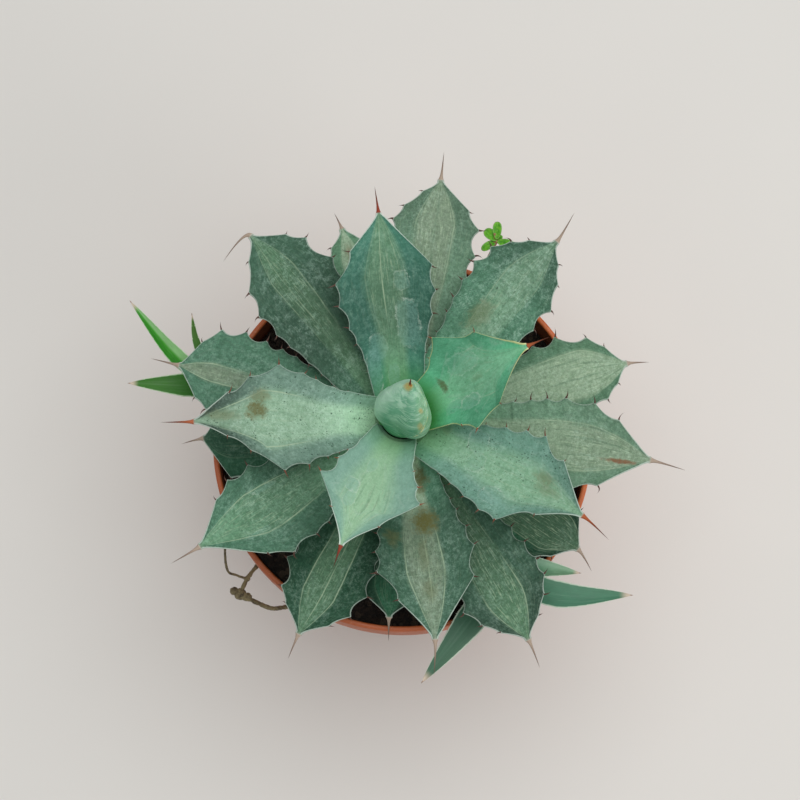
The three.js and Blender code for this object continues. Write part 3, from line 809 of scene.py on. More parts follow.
leaves = [
    agaveLeaf(248, 59.5, 196, (22.5, 19.5), 0.66, (0.6, 0.55), 4.5, (9, 253, 10),
              ("blue", 1.0), ("fresh", 1.0), rimTip=1.25, stipple=0.08, lines=0.3, specks=0.15, clouds=0.35,
              imprint=0.6, foot=0.3, footLight=1.05, horn=0.0, hornTone="redHorn", flare=1.0, teeth=0.1,
              stripe=0.42, soft=0.26, streaks=0.9, paleRim=0.9,
              prints=[(0.52, -5.7, 3, 2.6, 1.3), (0.63, -4.6, 3.4, 2.2, 1.2), (0.29, -2.5, 3.2, 1.8, 0.9)]),
    agaveLeaf(23, 50, 190, (26, 23), 0.62, (0.42, 0.42), 6, (9, 19, 15), ("green", 1.15), ("vivid", 1.06),
              rimTip=1.5, stipple=0.11, lines=0.3, specks=0.3, bloom=0.4, clouds=0.6, imprint=0.5, foot=1.0,
              footLight=1.8, tipLight=1.25, horn=0.0, flare=1.3, teeth=0.0, stripe=0.4, soft=0.2, paleRim=1.0,
              rimTone="youngRim",
              stains=[("stain", 0.21, 3.4, 1.2, 3.6, 0.8), ("stain", 0.5, -0.8, 2.5, 1.0, 0.3),
                      ("bloom", 0.92, -5, 6, 3, 0.6), ("bloom", 0.9, 7, 7, 3, 0.45)],
              prints=[(0.39, -7.6, 3.4, 2.6, 0.8), (0.24, -5.9, 3, 2.2, 0.7), (0.45, 7, 5, 4, 0.5)]),
    agaveLeaf(186, 77.5, 186, (21, 22), 0.64, (0.6, 0.85), 4, (12, 183, 12), ("grey", 1.0), ("pale", 1.05),
              rimTip=0.52, stipple=0.16, lines=0.9, specks=1.0, bloom=0.8, imprint=0.25, foot=0.2,
              tipLight=0.72, horn=0.05, flare=1.15, teeth=0.5, stripe=0.5, soft=0.16, toothScale=1.6,
              stains=[("stain", 0.66, -4, 4.5, 4, 0.9), ("stain", 0.64, -9, 4, 3.5, 0.6),
                      ("stain", 0.84, -2, 7, 2.5, 0.45)]),
    agaveLeaf(327.5, 78.5, 180, (20, 18.5), 0.66, (1.2, 0.7), 4, (13, 314, 0), ("haze", 1.05), ("sage", 1.2),
              stipple=0.13, lines=0.3, specks=0.9, bloom=0.7, imprint=0.4, foot=0.4, footLight=1.1,
              tipLight=0.88, horn=0.0, flare=1.2, teeth=0.5, stripe=0.45, soft=0.2, streaks=0.7,
              stains=[("stain", 0.72, 5.5, 5, 2.5, 0.5), ("stain", 0.76, 2, 6, 3, 0.4),
                      ("stain", 0.1, 6, 3, 3, 0.3)],
              prints=[(0.3, 6.4, 4, 4.5, 0.7), (0.53, -9.9, 4.5, 3.4, 0.7), (0.34, -1, 3.4, 4, 0.5)]),
    agaveLeaf(97, 75.5, 173, (21, 19.5), 0.66, (1.2, 1.6), 2, (10, 99, 20), ("teal", 0.78), ("jade", 0.82),
              rimTip=1.15, stipple=0.16, lines=0.2, midline=0.7, specks=0.3, bloom=0.4, imprint=0.15,
              foot=0.55, footLight=2.2, tipLight=1.4, horn=0.0, hornTone="redHorn", flare=1.1, stripe=0.38,
              soft=0.14, toothScale=1.5, paleRim=0.8,
              prints=[(0.38, -6.7, 9, 4.6, 0.9), (0.62, -5.8, 3.4, 3, 0.7), (0.27, 6.1, 5, 3.6, 0.8),
                      (0.16, 8.8, 8, 3, 1.0), (0.1, 1.1, 4, 2.4, 0.9)]),
    agaveLeaf(215, 92, 172, (22, 17), 0.7, (1.1, 1.3), 2.5, (12, 211, 5), ("deep", 0.84), ("jade", 0.88),
              lines=0.6, footLight=3.0, tipLight=1.4, stripe=0.44, clouds=0.9,
              prints=[(0.74, 7.5, 5, 0.9, 0.6), (0.6, -6, 5, 0.9, 0.6)]),
    agaveLeaf(348, 95, 169, (19.5, 17.5), 0.68, (1.6, 1.6), 2, (13.5, 342, 0), ("sage", 0.74), ("cream", 1.2),
              footLight=2.3, lines=0.55, streaks=1.0, specks=0.4, tipLight=0.88, stripe=0.5, toothScale=1.6,
              stains=[("brownStain", 0.87, -2.4, 7, 1.0, 0.9), ("brownStain", 0.6, -8, 3, 1, 0.4)]),
    agaveLeaf(130.5, 90, 163, (18.5, 20), 0.76, (1.1, 1.6), 1.5, (18, 236, -8),
              ("deep", 0.55), ("moss", 0.72), lines=0.3, midline=0.35, specks=0.5, tipLight=1.35,
              footLight=2.1, stripe=0.3, clouds=1.0, bloom=0.7),
    agaveLeaf(278, 87, 160, (21, 19), 0.65, (1.6, 1.1), 2, (13, 266, -5), ("deep", 0.75), ("cream", 0.8),
              lines=0.7, midline=0.5, specks=0.5, bloom=0.7, tipLight=1.1, footLight=3.2, stripe=0.36,
              clouds=0.9,
              stains=[("stain", 0.16, 3.4, 6, 3.6, 0.9), ("stain", 0.39, 3.0, 6.5, 5.5, 1.0),
                      ("stain", 0.46, -10.5, 4.5, 3.5, 0.55), ("stain", 0.55, 0.5, 9, 2.5, 0.35),
                      ("stain", 0.75, 0.7, 5, 3, 0.4)]),
    agaveLeaf(48.5, 90, 158, (20.5, 16.5), 0.76, (1.4, 1.3), 1.5, (13, 60, 20), ("deep", 1.4), ("sage", 0.9),
              rimTip=0.72, lines=0.35, specks=0.6, bloom=1.1, clouds=1.0, tipLight=0.75, footLight=2.5,
              stripe=0.38, stains=[("stain", 0.5, 5, 8, 5, 0.5)]),
    agaveLeaf(167, 88.5, 152, (15, 20), 0.82, (1.5, 1.5), 1, (11, 166, 0), ("deep", 1.2), ("cream", 0.92),
              lines=1.0, specks=0.3, stripe=0.2),
    agaveLeaf(299, 98, 152, (19, 17), 0.78, (1.5, 1.4), 1.5, (11, 290, -5), ("deep", 0.74), ("moss", 0.82),
              rimTip=0.45, lines=0.6, specks=0.4, tipLight=1.3, footLight=1.8, stripe=0.42, streaks=0.8,
              clouds=0.9),
    agaveLeaf(81, 96.5, 147, (17, 19), 0.8, (1.3, 1.4), 1.5, (11, 84, 25), ("sage", 0.8), ("cream", 1.06),
              rimTip=0.66, lines=0.5, streaks=1.0, specks=0.3, tipLight=0.9, stripe=0.42),
    agaveLeaf(244.5, 92, 146, (18, 18), 0.78, (1.4, 1.3), 1, (10, 248, -5), ("dusk", 0.75), ("moss", 1.0),
              lines=0.7, midline=0.6, specks=0.25, stripe=0.36, clouds=0.9),
    agaveLeaf(14.5, 90.5, 142, (18.5, 16), 0.78, (1.4, 1.6), 1, (8.5, 1, 0), ("jade", 0.93), ("cream", 1.38),
              lines=0.5, streaks=1.0, specks=0.3, stripe=0.55),
    agaveLeaf(184.5, 78, 137, (18.5, 17), 0.8, (2.6, 1.4), 1, (8.5, 197, 0), ("dusk", 1.3), ("dusk", 0.95),
              tipLight=0.75, lines=0.1, streaks=0.2, specks=0.2, bloom=0.3),
    agaveLeaf(324, 84, 135, (15, 14), 0.82, (2.6, 1.4), 1, (10, 296, 0), ("dusk", 1.75), ("moss", 1.0),
              rimTip=0.42, lines=0.5, streaks=1.0, specks=0.2, bloom=0.3, footLight=4.0, tipLight=0.75,
              stripe=0.6),
    agaveLeaf(107, 82.5, 134, (12, 14), 0.8, (1.4, 1.4), 0.8, (7, 118, 10), ("jade", 1.25), ("cream", 1.6),
              lines=0.5, midline=0.3, specks=0.3, stripe=0.3, stains=[("brownStain", 0.86, 0, 4, 2, 0.4)]),
    agaveLeaf(266, 75.5, 130, (14, 14), 0.8, (1.4, 1.4), 0.8, (9, 270, 0), ("dusk", 0.75), ("dusk", 1.6),
              lines=0.3, streaks=0.3, specks=0.2, bloom=0.3),
]


def toned(name, light=1.0):
    return colour(tones[name], light)


class LeafFlesh(Mixture):
    # the look of one leaf's blade and end spine, laid on in the order of mix
    def __init__(self, leaf):
        margins, light = leaf.margins
        super().__init__(f"leafFlesh{leaf.number}", (tones[margins], light))
        self.leaf = leaf
        self.along, self.reach, self.across = self.field("along"), self.field("reach"), self.field("across")
        self.edge, self.rim = self.field("edge"), self.field("rim")
        self.side = self.calc("ABSOLUTE", self.edge)
        self.nearTip = self.ramp(self.along, 0.62, 1.0)
        self.seed = leaf.index * 7.3
        self.flat = self.vector(self.across, self.reach, self.seed)
        fan = self.vector(self.times(self.edge, 9.0), self.times(self.reach, 0.04), self.seed)
        self.cloud = self.noise(self.flat, 0.08, 4, 0.6, 0.5)
        self.mottle = self.noise(self.flat, 0.4, 6, 0.76, 0.3)
        self.grain = self.noise(self.flat, 0.95, 5, 0.82)
        self.fibre = self.noise(fan, 1.3, 3)
        self.hair = self.noise(fan, 4.5, 3, 0.6)

    def mix(self):
        self.layStripe()
        self.layDust()
        borders = self.drawLines()
        printed = self.leavePrints()
        self.layStains()
        self.layRim()
        self.layHorn()
        rough = self.ramp(self.mottle, 0.3, 0.7, 0.56, 0.74)
        bump = self.plus(self.times(self.mottle, 0.5), self.times(self.grain, 0.3),
                         self.times(self.hair, 0.3), self.times(printed, 0.35), self.times(borders, 0.5))
        return self.finish(rough, bump, 0.3, 0.5, specular=0.25)

    def layStripe(self):
        # the stripe between the margins, with a soft uneven border
        leaf, along = self.leaf, self.along
        strayed = self.plus(self.side, self.sway(self.cloud, 0.08))
        inStripe = self.ramp(strayed, leaf.stripe - leaf.soft, leaf.stripe + leaf.soft, 1.0, 0.0)
        # painted light and shade: the margins towards the tip, then the whole blade at its foot and at its
        # tip
        self.shade(self.ramp(along, 0.6, 0.9, 1.0, leaf.rimTip), 0.0, 1.0)
        self.paint(toned(*leaf.middle), inStripe)
        self.shade(self.times(self.ramp(along, 0.55, 0.9, 1.0, leaf.tipLight),
                              self.ramp(along, 0.06, 0.42, leaf.footLight, 1.0)), 0.0, 1.0)
        # streaks along the leaf, strongest in the stripe and towards the tip
        streaked = self.times(self.plus(self.times(inStripe, 0.75), 0.25),
                              self.ramp(along, 0.1, 0.75, 0.3, 1.0))
        self.paint(tones["streakPale"], self.times(self.ramp(self.hair, 0.52, 0.66), streaked),
                   0.6 * leaf.streaks)
        self.paint(tones["streakDark"], self.times(self.ramp(self.fibre, 0.48, 0.34), streaked),
                   0.4 * leaf.streaks)

    def layDust(self):
        # deeper green in clouds, dusty bloom between them, a fine grain over all, and green round the bud
        leaf, mottle = self.leaf, self.mottle
        self.paint(toned("under", 0.75), self.ramp(mottle, 0.44, 0.64), 0.42 * leaf.clouds, "MULTIPLY")
        dust = self.plus(self.times(mottle, -0.5), self.times(self.grain, 0.5))
        self.paint(tones["bloom"], self.times(self.ramp(dust, -0.03, 0.1), self.ramp(self.cloud, 0.35, 0.6)),
                   0.3 * leaf.bloom)
        self.shade(mottle, 1.12, 0.88)
        self.shade(self.ramp(self.grain, 0.3, 0.7), 1 - leaf.stipple, 1 + leaf.stipple)
        ragged = self.plus(self.along, self.times(mottle, 0.12))
        self.paint(tones["foot"], self.ramp(ragged, 0.3, 0.06), leaf.foot)

    def drawLines(self):
        # light lines: both borders of the stripe, and the middle
        leaf = self.leaf
        drawn = self.times(self.ramp(self.along, 0.3, 0.62), self.ramp(self.fibre, 0.3, 0.55))
        border = self.line(self.plus(self.side, self.sway(self.cloud, 0.02)), leaf.stripe, 0.022)
        borders = self.times(border, drawn, leaf.lines)
        self.paint(tones["borderLine"], borders)
        if leaf.midline:
            middle = self.times(self.line(self.edge, 0.08, 0.022), drawn)
            self.paint(tones["borderLine"], middle, leaf.midline)
        return borders

    def leavePrints(self):
        # prints of the leaf's own margins and of its neighbours, left from the bud
        leaf = self.leaf
        shifted = self.plus(self.rim, self.sway(self.mottle, 1.2))
        kept = self.times(self.ramp(self.cloud, 0.44, 0.56), self.ramp(self.along, 0.06, 0.2))
        first = self.times(self.ramp(shifted, 5.9, 6.2), self.ramp(shifted, 7.6, 6.2))
        second = self.times(self.ramp(shifted, 10.3, 10.6), self.ramp(shifted, 12.2, 10.6))
        printed = self.times(self.plus(first, second), kept, leaf.imprint)
        self.paint(tones["bloom"], printed, 0.4)
        for at, aside, long, wide, strength in leaf.prints:
            away = self.away(self.reach, self.across, at * leaf.length, aside, long, wide, 3.0)
            away = self.plus(away, self.sway(self.mottle, 0.55))
            broken = self.ramp(self.grain, 0.35, 0.6, 0.3, 1.0)
            self.paint(tones["ghost"], self.times(self.ramp(away, 1.05, 0.8), broken), 0.3 * strength)
            outline = self.times(self.line(away, 0.98, 0.11), self.ramp(self.cloud, 0.4, 0.6), broken)
            self.paint(tones["rimLine"], outline, 0.5 * strength)
        return printed

    def layStains(self):
        # dark specks in patches, then brown and olive stains
        leaf = self.leaf
        patches = self.ramp(self.noise(self.flat, 0.22, 3, 0.6), 0.38, 0.6)
        spots = self.calc("MAXIMUM", self.dots(self.flat, 1.15, 0.42),
                          self.times(self.dots(self.flat, 2.3, 0.5), 0.8))
        self.paint(tones["speck"], self.times(spots, patches), 0.85 * leaf.specks)
        for tone, at, aside, long, wide, strength in leaf.stains:
            away = self.away(self.reach, self.across, at * leaf.length, aside, long, wide, 2.0)
            ragged = self.plus(away, self.sway(self.mottle, 1.3))
            stained = self.times(self.ramp(ragged, 0.3, 1.2, 1.0, 0.0),
                                 self.ramp(self.grain, 0.3, 0.55, 0.6, 1.0))
            self.paint(tones[tone], stained, strength)

    def layRim(self):
        # the pale hairline rim, with a darker band inside it
        leaf, nearTip = self.leaf, self.nearTip
        self.shade(self.ramp(self.rim, 0.3, 1.8), 0.82, 1.0)
        ragged = self.plus(self.rim, self.times(self.grain, -0.5), self.times(nearTip, -0.3))
        rimmed = self.times(self.ramp(ragged, -0.15, 0.22, 1.0, 0.0), self.ramp(nearTip, 0.0, 1.0, 0.7, 1.0))
        self.paint(tones[leaf.rimTone], rimmed, leaf.paleRim)

    def layHorn(self):
        # the end spine, where along is over 1, darker towards its point
        leaf, along = self.leaf, self.along
        horn = self.blend(self.ramp(along, 1.2, 1.95),
                          self.blend(leaf.horn, toned(leaf.hornTone), toned("oldHorn")),
                          self.blend(leaf.horn, toned("hornTip"), toned("oldHornTip")))
        horn = self.blend(self.ramp(along, 1.0, 1.12, 0.4, 0.0), horn, toned("rimLine"))
        ridged = self.vector(self.times(self.edge, 4.0), self.times(self.reach, 0.3), self.seed)
        horn = self.shaded(horn, self.noise(ridged, 1.5), 0.7, 1.2)
        self.paint(horn, self.ramp(along, 0.985, 1.02))


def toothHorn(leaf):
    skin = Mixture(f"toothHorn{leaf.number}", tones["toothFresh"])
    share = skin.field("tooth")
    skin.paint(tones["toothOld"], leaf.teeth)
    skin.paint(tones["toothTip"], skin.ramp(share, 0.45, 1.0))
    skin.paint(tones["rimLine"], skin.ramp(share, 0.1, 0.0))
    skin.shade(skin.noise(skin.place(), 1.8, 3), 0.7, 1.2)
    return skin.finish(skin.ramp(share, 0.0, 1.0, 0.6, 0.4))


Crest = namedtuple("Crest", "along size length lean wave dip")


def ofSide(pair, side):
    return pair[0] if side > 0 else pair[1]


class Leaf:
    # side is 1 for the leaf's left half and -1 for its right, along runs from 0 at the foot to 1 at the tip,
    # and across is in mm from the middle
    def __init__(self, index, facts):
        vars(self).update(facts)
        r = rosette
        self.index = index
        self.number = f"{index + 1:02d}"
        self.root = r["stemTop"] - r["firstStep"] * index + r["stepLoss"] * index ** 2
        self.start = stemRadiusAt(self.root - r["footThick"]) + r["footGap"]
        self.length = self.reach - self.start
        late = smoothstep(self.widest, 0.66, 0.76)
        self.smoothFrom = lerp(self.widest, 1, lerp(*r["toothedShare"], late))
        self.crests = {side: self.findCrests(side) for side in (1, -1)}

    def findCrests(self, side):
        # where the teeth stand, how large they are, and how deep the margin dips before each
        r = rosette
        near, wide, far = r["toothSpacing"]
        crests = []
        along = r["toothStart"] + 0.03 * chance(self.index, side)
        count, gap = 0, near
        while along < self.smoothFrom - 0.02:
            # small at the foot, largest in the middle, smaller again near the tip
            size = lerp(0.25, 1, smoothstep(along, 0.15, 0.55))
            size *= lerp(1, 0.6, smoothstep(along, 0.78, 0.95))
            length = r["toothLength"] * size * (0.75 + 0.5 * chance(self.index + 0.3, count * side))
            lean = (chance(self.index + 0.7, count * side) - 0.35) * 1.6 / self.length
            wave = r["marginWave"] * size * (chance(self.index, count * side + 0.5) - 0.3)
            dip = r["scallop"] * gap * size * (0.6 + 0.8 * chance(self.index + 0.9, count * side))
            dip *= lerp(0.5, 1, smoothstep(along, 0.4, 0.75))
            crests.append(Crest(along, size, length, lean, wave, dip))
            spacing = lerp(near, wide, smoothstep(along, 0.1, 0.6))
            spacing = lerp(spacing, far, smoothstep(along, 0.7, 0.88))
            gap = spacing * (0.75 + 0.5 * chance(self.index + 0.1, count * side))
            along += gap / self.length
            count += 1
        return crests

    def halfWidth(self, along, side):
        # the half width without its scallops
        r = rosette
        full, taper = ofSide(self.half, side), ofSide(self.taper, side)
        foot = math.radians(r["clasp"]) * self.start
        neck = lerp(foot, max(r["neckHalf"], foot), np.minimum(along / r["neckEnd"], 1))
        swelling = lerp(neck, full, smoothstep(along, r["neckEnd"], self.widest))
        share = np.clip((along - self.widest) / (1 - self.widest), 0, 1)
        closing = np.hypot(full * (1 - share ** taper), self.flare)
        return np.where(along < self.widest, swelling, closing)

    def margin(self, along, side):
        # how wide the edge is, dipping under both the outline and the chord between two crests, and how far
        # it rises
        r = rosette
        crests = self.crests[side]
        slim = smoothstep(ofSide(self.taper, side), 0.8, 1.2)
        dips = np.array([*[crest.dip for crest in crests], lerp(*r["endHollow"], slim)])
        sizes = np.array([*[crest.size for crest in crests], 0.0])
        places = np.array([r["marginStart"], *[crest.along for crest in crests], 1.0])
        waves = np.array([0.0, *[crest.wave for crest in crests], 0.0])
        k = np.clip(np.searchsorted(places, along, side="right") - 1, 0, len(places) - 2)
        share = np.clip((along - places[k]) / (places[k + 1] - places[k]), 0, 1)
        arch = 4 * share * (1 - share)
        level = lerp(waves[k], waves[k + 1], share)
        chord = lerp(self.halfWidth(places[k], side), self.halfWidth(places[k + 1], side), share)
        outline = self.halfWidth(along, side)
        width = np.where(along > places[0], np.minimum(chord, outline), outline) - dips[k] * arch
        return np.maximum(width, self.flare), level - (0.35 * sizes[k] + level) * arch

    def surface(self, along, across):
        # a point on the upper face: on a bowed cone round the stem, with its margins folded up
        radius = self.start + along * self.length
        angle = math.radians(self.azimuth) + across / radius
        width = np.where(across > 0, self.halfWidth(along, 1), self.halfWidth(along, -1))
        edge = np.minimum(np.abs(across) / width, 1.2)
        crease = np.maximum(edge - rosette["crease"], 0) / (1 - rosette["crease"])
        raised = 0.45 * edge ** 1.4 + 0.55 * crease ** 1.25
        fold = self.fold * smoothstep(along, 0.35, 0.85) * np.minimum((1 - along) / 0.1, 1)
        rise = (self.tip - self.root) * (along + rosette["bow"] * along * (1 - along))
        z = self.root + rise + fold * raised
        y = rosette["axisY"] + radius * np.sin(angle)
        return np.stack([radius * np.cos(angle), y, z + 0 * across], -1)

    def halfThickness(self, along, across):
        # thick at the foot and in the middle, thin at the margins
        width = np.where(across > 0, self.halfWidth(along, 1), self.halfWidth(along, -1))
        edge = np.minimum(np.abs(across) / width, 1)
        middle = lerp(rosette["footThick"], rosette["tipThick"], along ** 0.8)
        return lerp(middle, rosette["marginThick"], edge ** 1.3) / 2

    def section(self):
        # the points round the leaf: their share of the half width, their turn over the rim, and their turn
        # round the end spine
        r = rosette
        fan = np.sin(np.linspace(1, -1, 2 * r["columns"] + 1) * math.pi / 2)
        under = np.sin(np.linspace(-1, 1, 2 * r["underColumns"] + 1) * math.pi / 2)
        turns = [60, 30, 0, -30, -60]
        share = [*fan, *[-1] * len(turns), *under, *[1] * len(turns)]
        turn = [*[90] * len(fan), *turns, *[-90] * len(under), *turns[::-1]]
        spineTurn = [*np.linspace(8, 172, len(fan)), *np.linspace(174, 186, len(turns)),
                     *np.linspace(188, 352, len(under)), *np.linspace(354, 366, len(turns))]
        return np.array(share, float), np.radians(turn), np.radians(spineTurn)

    def blade(self):
        # the leaf and its end spine as one closed form, with the fields that its look needs
        share, turn, spineTurn = self.section()
        along = np.linspace(0, 1, rosette["rows"])[:, None] * np.ones((1, len(share)))
        left = share > 0
        widthLeft, liftLeft = self.margin(along, 1)
        widthRight, liftRight = self.margin(along, -1)
        width = np.where(left, widthLeft, widthRight)
        rounding = np.minimum(0.42, width * 0.4)
        across = share * (width - rounding) + np.sign(share) * rounding * np.cos(turn)
        edge = across / width
        points = self.surface(along, across)
        points[..., 2] += np.where(left, liftLeft, liftRight) * np.abs(edge) ** 3
        points[..., 2] -= self.halfThickness(along, across) * (1 - np.sin(turn))
        self.ripple(points, along, across, edge)
        outline = np.where(left, self.halfWidth(along, 1), self.halfWidth(along, -1))
        fields = {
            "along": along, "reach": along * self.length, "across": across, "edge": across / outline,
            "rim": width - np.abs(across),
        }
        rings, end = self.endSpine(spineTurn, fields)
        return loft([*points, *rings], end), fields

    def endSpine(self, spineTurn, fields):
        # a thin cone that bends from the blade's slope to its own azimuth and rise. Its rows join the fields
        r = rosette
        length, azimuth, rise = self.spine
        foot = self.surface(np.array(1.0), np.array(0.0)) - np.array([0, 0, r["tipThick"] / 2])
        slope = math.atan2((self.tip - self.root) * (1 - r["bow"]), self.length)
        bend = foot + length * r["spineBend"] * heading(self.azimuth, math.degrees(slope))
        end = bend + length * (1.05 - r["spineBend"]) * heading(azimuth, rise)
        around, above = np.cos(spineTurn)[:, None], 0.85 * np.sin(spineTurn)[:, None]
        rings = []
        for q in np.arange(1, r["spineRows"]) / r["spineRows"]:
            centre = (1 - q) ** 2 * foot + 2 * q * (1 - q) * bend + q * q * end
            sideways, up = crossways(unit((1 - q) * (bend - foot) + q * (end - bend)))
            size = 0.62 * (1 - q) ** 0.8 + (self.flare - 0.58) * (1 - q) ** 5
            rings.append(centre + size * (around * sideways + above * up))
            last = {
                "along": 1 + q, "reach": self.length + q * length, "across": fields["across"][-1] * 0.9,
                "edge": fields["edge"][-1], "rim": 5.0,
            }
            for name, value in last.items():
                fields[name] = np.vstack([fields[name], np.full(len(spineTurn), value)])
        return rings, end

    def ripple(self, points, along, across, edge):
        # slow uneven swells over the blade, and a low ridge along each border of the stripe
        seed = self.index * 3.7
        spots = np.stack([across * 0.09, along * self.length * 0.05], -1).reshape(-1, 2)
        swell = np.array([noise.noise(Vector((x, y, seed))) for x, y in spots]).reshape(along.shape)
        strength = smoothstep(along, 0.1, 0.3) * np.minimum((1 - along) / 0.08, 1)
        ridge = np.exp(-((np.abs(edge) - self.stripe) / 0.07) ** 2) * smoothstep(along, 0.3, 0.6)
        points[..., 2] += (0.5 * swell + 0.22 * ridge * (0.4 + self.lines)) * strength

    def tooth(self, side, crest):
        # one flattened horny cone that hooks a little, sunk in the crest of a scallop
        r = rosette
        width = self.halfWidth(np.array(crest.along), side)
        count = round(crest.along * 1000)
        long = crest.length * self.toothScale * (0.85 + 0.4 * chance(count, self.index))
        lift = np.array([0, 0, crest.wave - r["marginThick"] / 2])
        foot = self.surface(np.array(crest.along), side * (width - 0.8)) + lift
        over = self.surface(np.array(crest.along + crest.lean), side * (width + 1.0)) + lift
        out = unit(over - foot + np.array([0, 0, 0.35 * chance(count, 2.7)]))
        before, after = np.array(crest.along - 0.01), np.array(crest.along + 0.01)
        ahead = unit(self.surface(after, side * width) - self.surface(before, side * width))
        tip = foot + out * (0.8 + long)
        bend = foot + out * (0.5 + 0.5 * long) + ahead * long * 1.1 * (chance(count, 4.9) - 0.4)
        up = unit(np.cross(out, ahead))
        points, shares = [], []
        for q in r["toothRings"]:
            centre = (1 - q) ** 2 * foot + 2 * q * (1 - q) * bend + q * q * tip
            broad = 0.62 * r["toothHalfBase"] * (0.6 + 0.5 * crest.size) * (1 - q) ** 1.4
            for angle in np.arange(r["toothSides"]) / r["toothSides"] * math.tau:
                points.append(centre + broad * math.cos(angle) * ahead + 0.55 * broad * math.sin(angle) * up)
                shares.append(q)
        rings = np.array(points).reshape(len(r["toothRings"]), r["toothSides"], 3)
        return loft(rings, tip), [*shares, 1.0]

    def make(self):
        form = Gathering("along", "reach", "across", "edge", "rim", "tooth")
        blade, fields = self.blade()
        form.add(blade, 0, **fields)
        for side in (1, -1):
            for crest in self.crests[side]:
                cone, shares = self.tooth(side, crest)
                form.add(cone, 1, tooth=shares)
        piece = form.build("agaveLeaf" + self.number, LeafFlesh(self).mix(), toothHorn(self))
        settle(piece, "leaf", "leaf_" + self.number)


for index, facts in enumerate(leaves):
    Leaf(index, facts).make()
print("leaves made:", len(leaves))


# The two offsets: young shoots with narrow channelled leaves and fine saw teeth

# Each leaf has its path, half width, number of teeth, the depth of its channel (keel), its brightness (tone),
# how strongly one half is lit, left or right by the sign, and how far it has withered (old).
offsetLook = {
    "left": {
        "slot": "bright_offset", "node": "left_offset", "piece": "brightOffset",
        "shoot": [(-60, 19.6, 103), (-60.5, 20.1, 117), (-65, 21.1, 128), (-74, 21.6, 134)],
        "shootRadius": 2.4,
        "leaves": [
            {"path": [(-69, 21.1, 131), (-80, 25.5, 133), (-91, 34.2, 137), (-105.7, 51, 150)], "half": 3.2,
             "teeth": 15, "keel": 0.5, "tone": 0.9, "lit": -1.0, "old": 0.0},
            {"path": [(-71, 22.5, 131.5), (-77.5, 29.8, 133.5), (-81.2, 38.5, 138), (-82.3, 47.1, 145)],
             "half": 1.8, "teeth": 6, "keel": 0.5, "tone": 0.6, "lit": 0.1, "old": 0.35},
            {"path": [(-68, 21.1, 131), (-87, 21.1, 134), (-107, 21.1, 138)], "half": 4.6, "teeth": 13,
             "keel": 0.4, "tone": 0.48, "lit": 0.0, "old": 0.1},
        ],
        "blade": "3C9A22", "shade": "1E7A14", "light": "8CC480", "margin": "CFE6C2", "withered": "8C8F62",
        "spine": "C9B9A6", "spineTip": "8A6A55",
    },
    "right": {
        "slot": "blue_offset", "node": "right_offset", "piece": "blueOffset",
        "shoot": [(39, -48.4, 103), (39, -48.4, 117), (40.5, -50.4, 125), (42, -52.4, 130)],
        "shootRadius": 3.0,
        "leaves": [
            {"path": [(39, -51.9, 126.5), (60, -60.9, 130.5), (88.5, -61.6, 134)], "half": 5.2, "teeth": 15,
             "keel": 0.45, "tone": 0.76, "lit": 0.1, "old": 0.0},
            {"path": [(39, -47.9, 125.5), (54.7, -50.6, 129.2), (68.8, -52.7, 131)], "half": 3.8, "teeth": 8,
             "keel": 0.5, "tone": 1.12, "lit": 0.5, "old": 0.3},
            {"path": [(40.5, -50.4, 126.5), (26, -71.4, 131), (7.5, -94.9, 132)], "half": 5.8, "teeth": 15,
             "keel": 0.45, "tone": 0.55, "lit": 0.15, "old": 0.1},
        ],
        "blade": "4C8668", "shade": "3A7055", "light": "84AF94", "margin": "D9E6D2", "withered": "8F9A78",
        "spine": "C9B9A6", "spineTip": "8A6A55",
    },
}


def offsetSkin(look):
    skin = Mixture(look["piece"] + "Flesh", look["blade"])
    edge, along, tone = skin.field("edge"), skin.field("along"), skin.field("tone")
    reach = skin.field("reach")
    flat = skin.vector(skin.times(edge, 5.0), reach, tone)
    fibre = skin.noise(skin.vector(skin.times(edge, 7.0), skin.times(reach, 0.07), tone), 1.6, 3)
    mottle = skin.noise(flat, 0.4, 4)
    side = skin.calc("ABSOLUTE", edge)
    turned = skin.times(edge, skin.field("lit"))
    skin.paint(look["light"], skin.ramp(turned, -0.05, 0.3))
    skin.paint(look["shade"], skin.ramp(turned, 0.05, -0.3), 0.6)
    skin.paint(look["light"], skin.ramp(fibre, 0.5, 0.68), 0.25)
    withered = skin.times(skin.ramp(skin.plus(along, skin.times(mottle, 0.3)), 0.3, 1.0), skin.field("old"))
    skin.paint(look["withered"], withered)
    skin.shade(mottle, 0.8, 1.2)
    skin.shade(tone, 0.0, 1.0)
    skin.paint(look["margin"], skin.ramp(side, 0.86, 0.97), 0.75)
    skin.paint(look["spine"], skin.ramp(along, 0.9, 0.98))
    skin.paint(look["spineTip"], skin.ramp(along, 0.985, 1.0))
    rough = skin.ramp(mottle, 0.3, 0.7, 0.42, 0.56)
    return skin.finish(rough, skin.plus(fibre, mottle), 0.12, 0.4, specular=0.3)


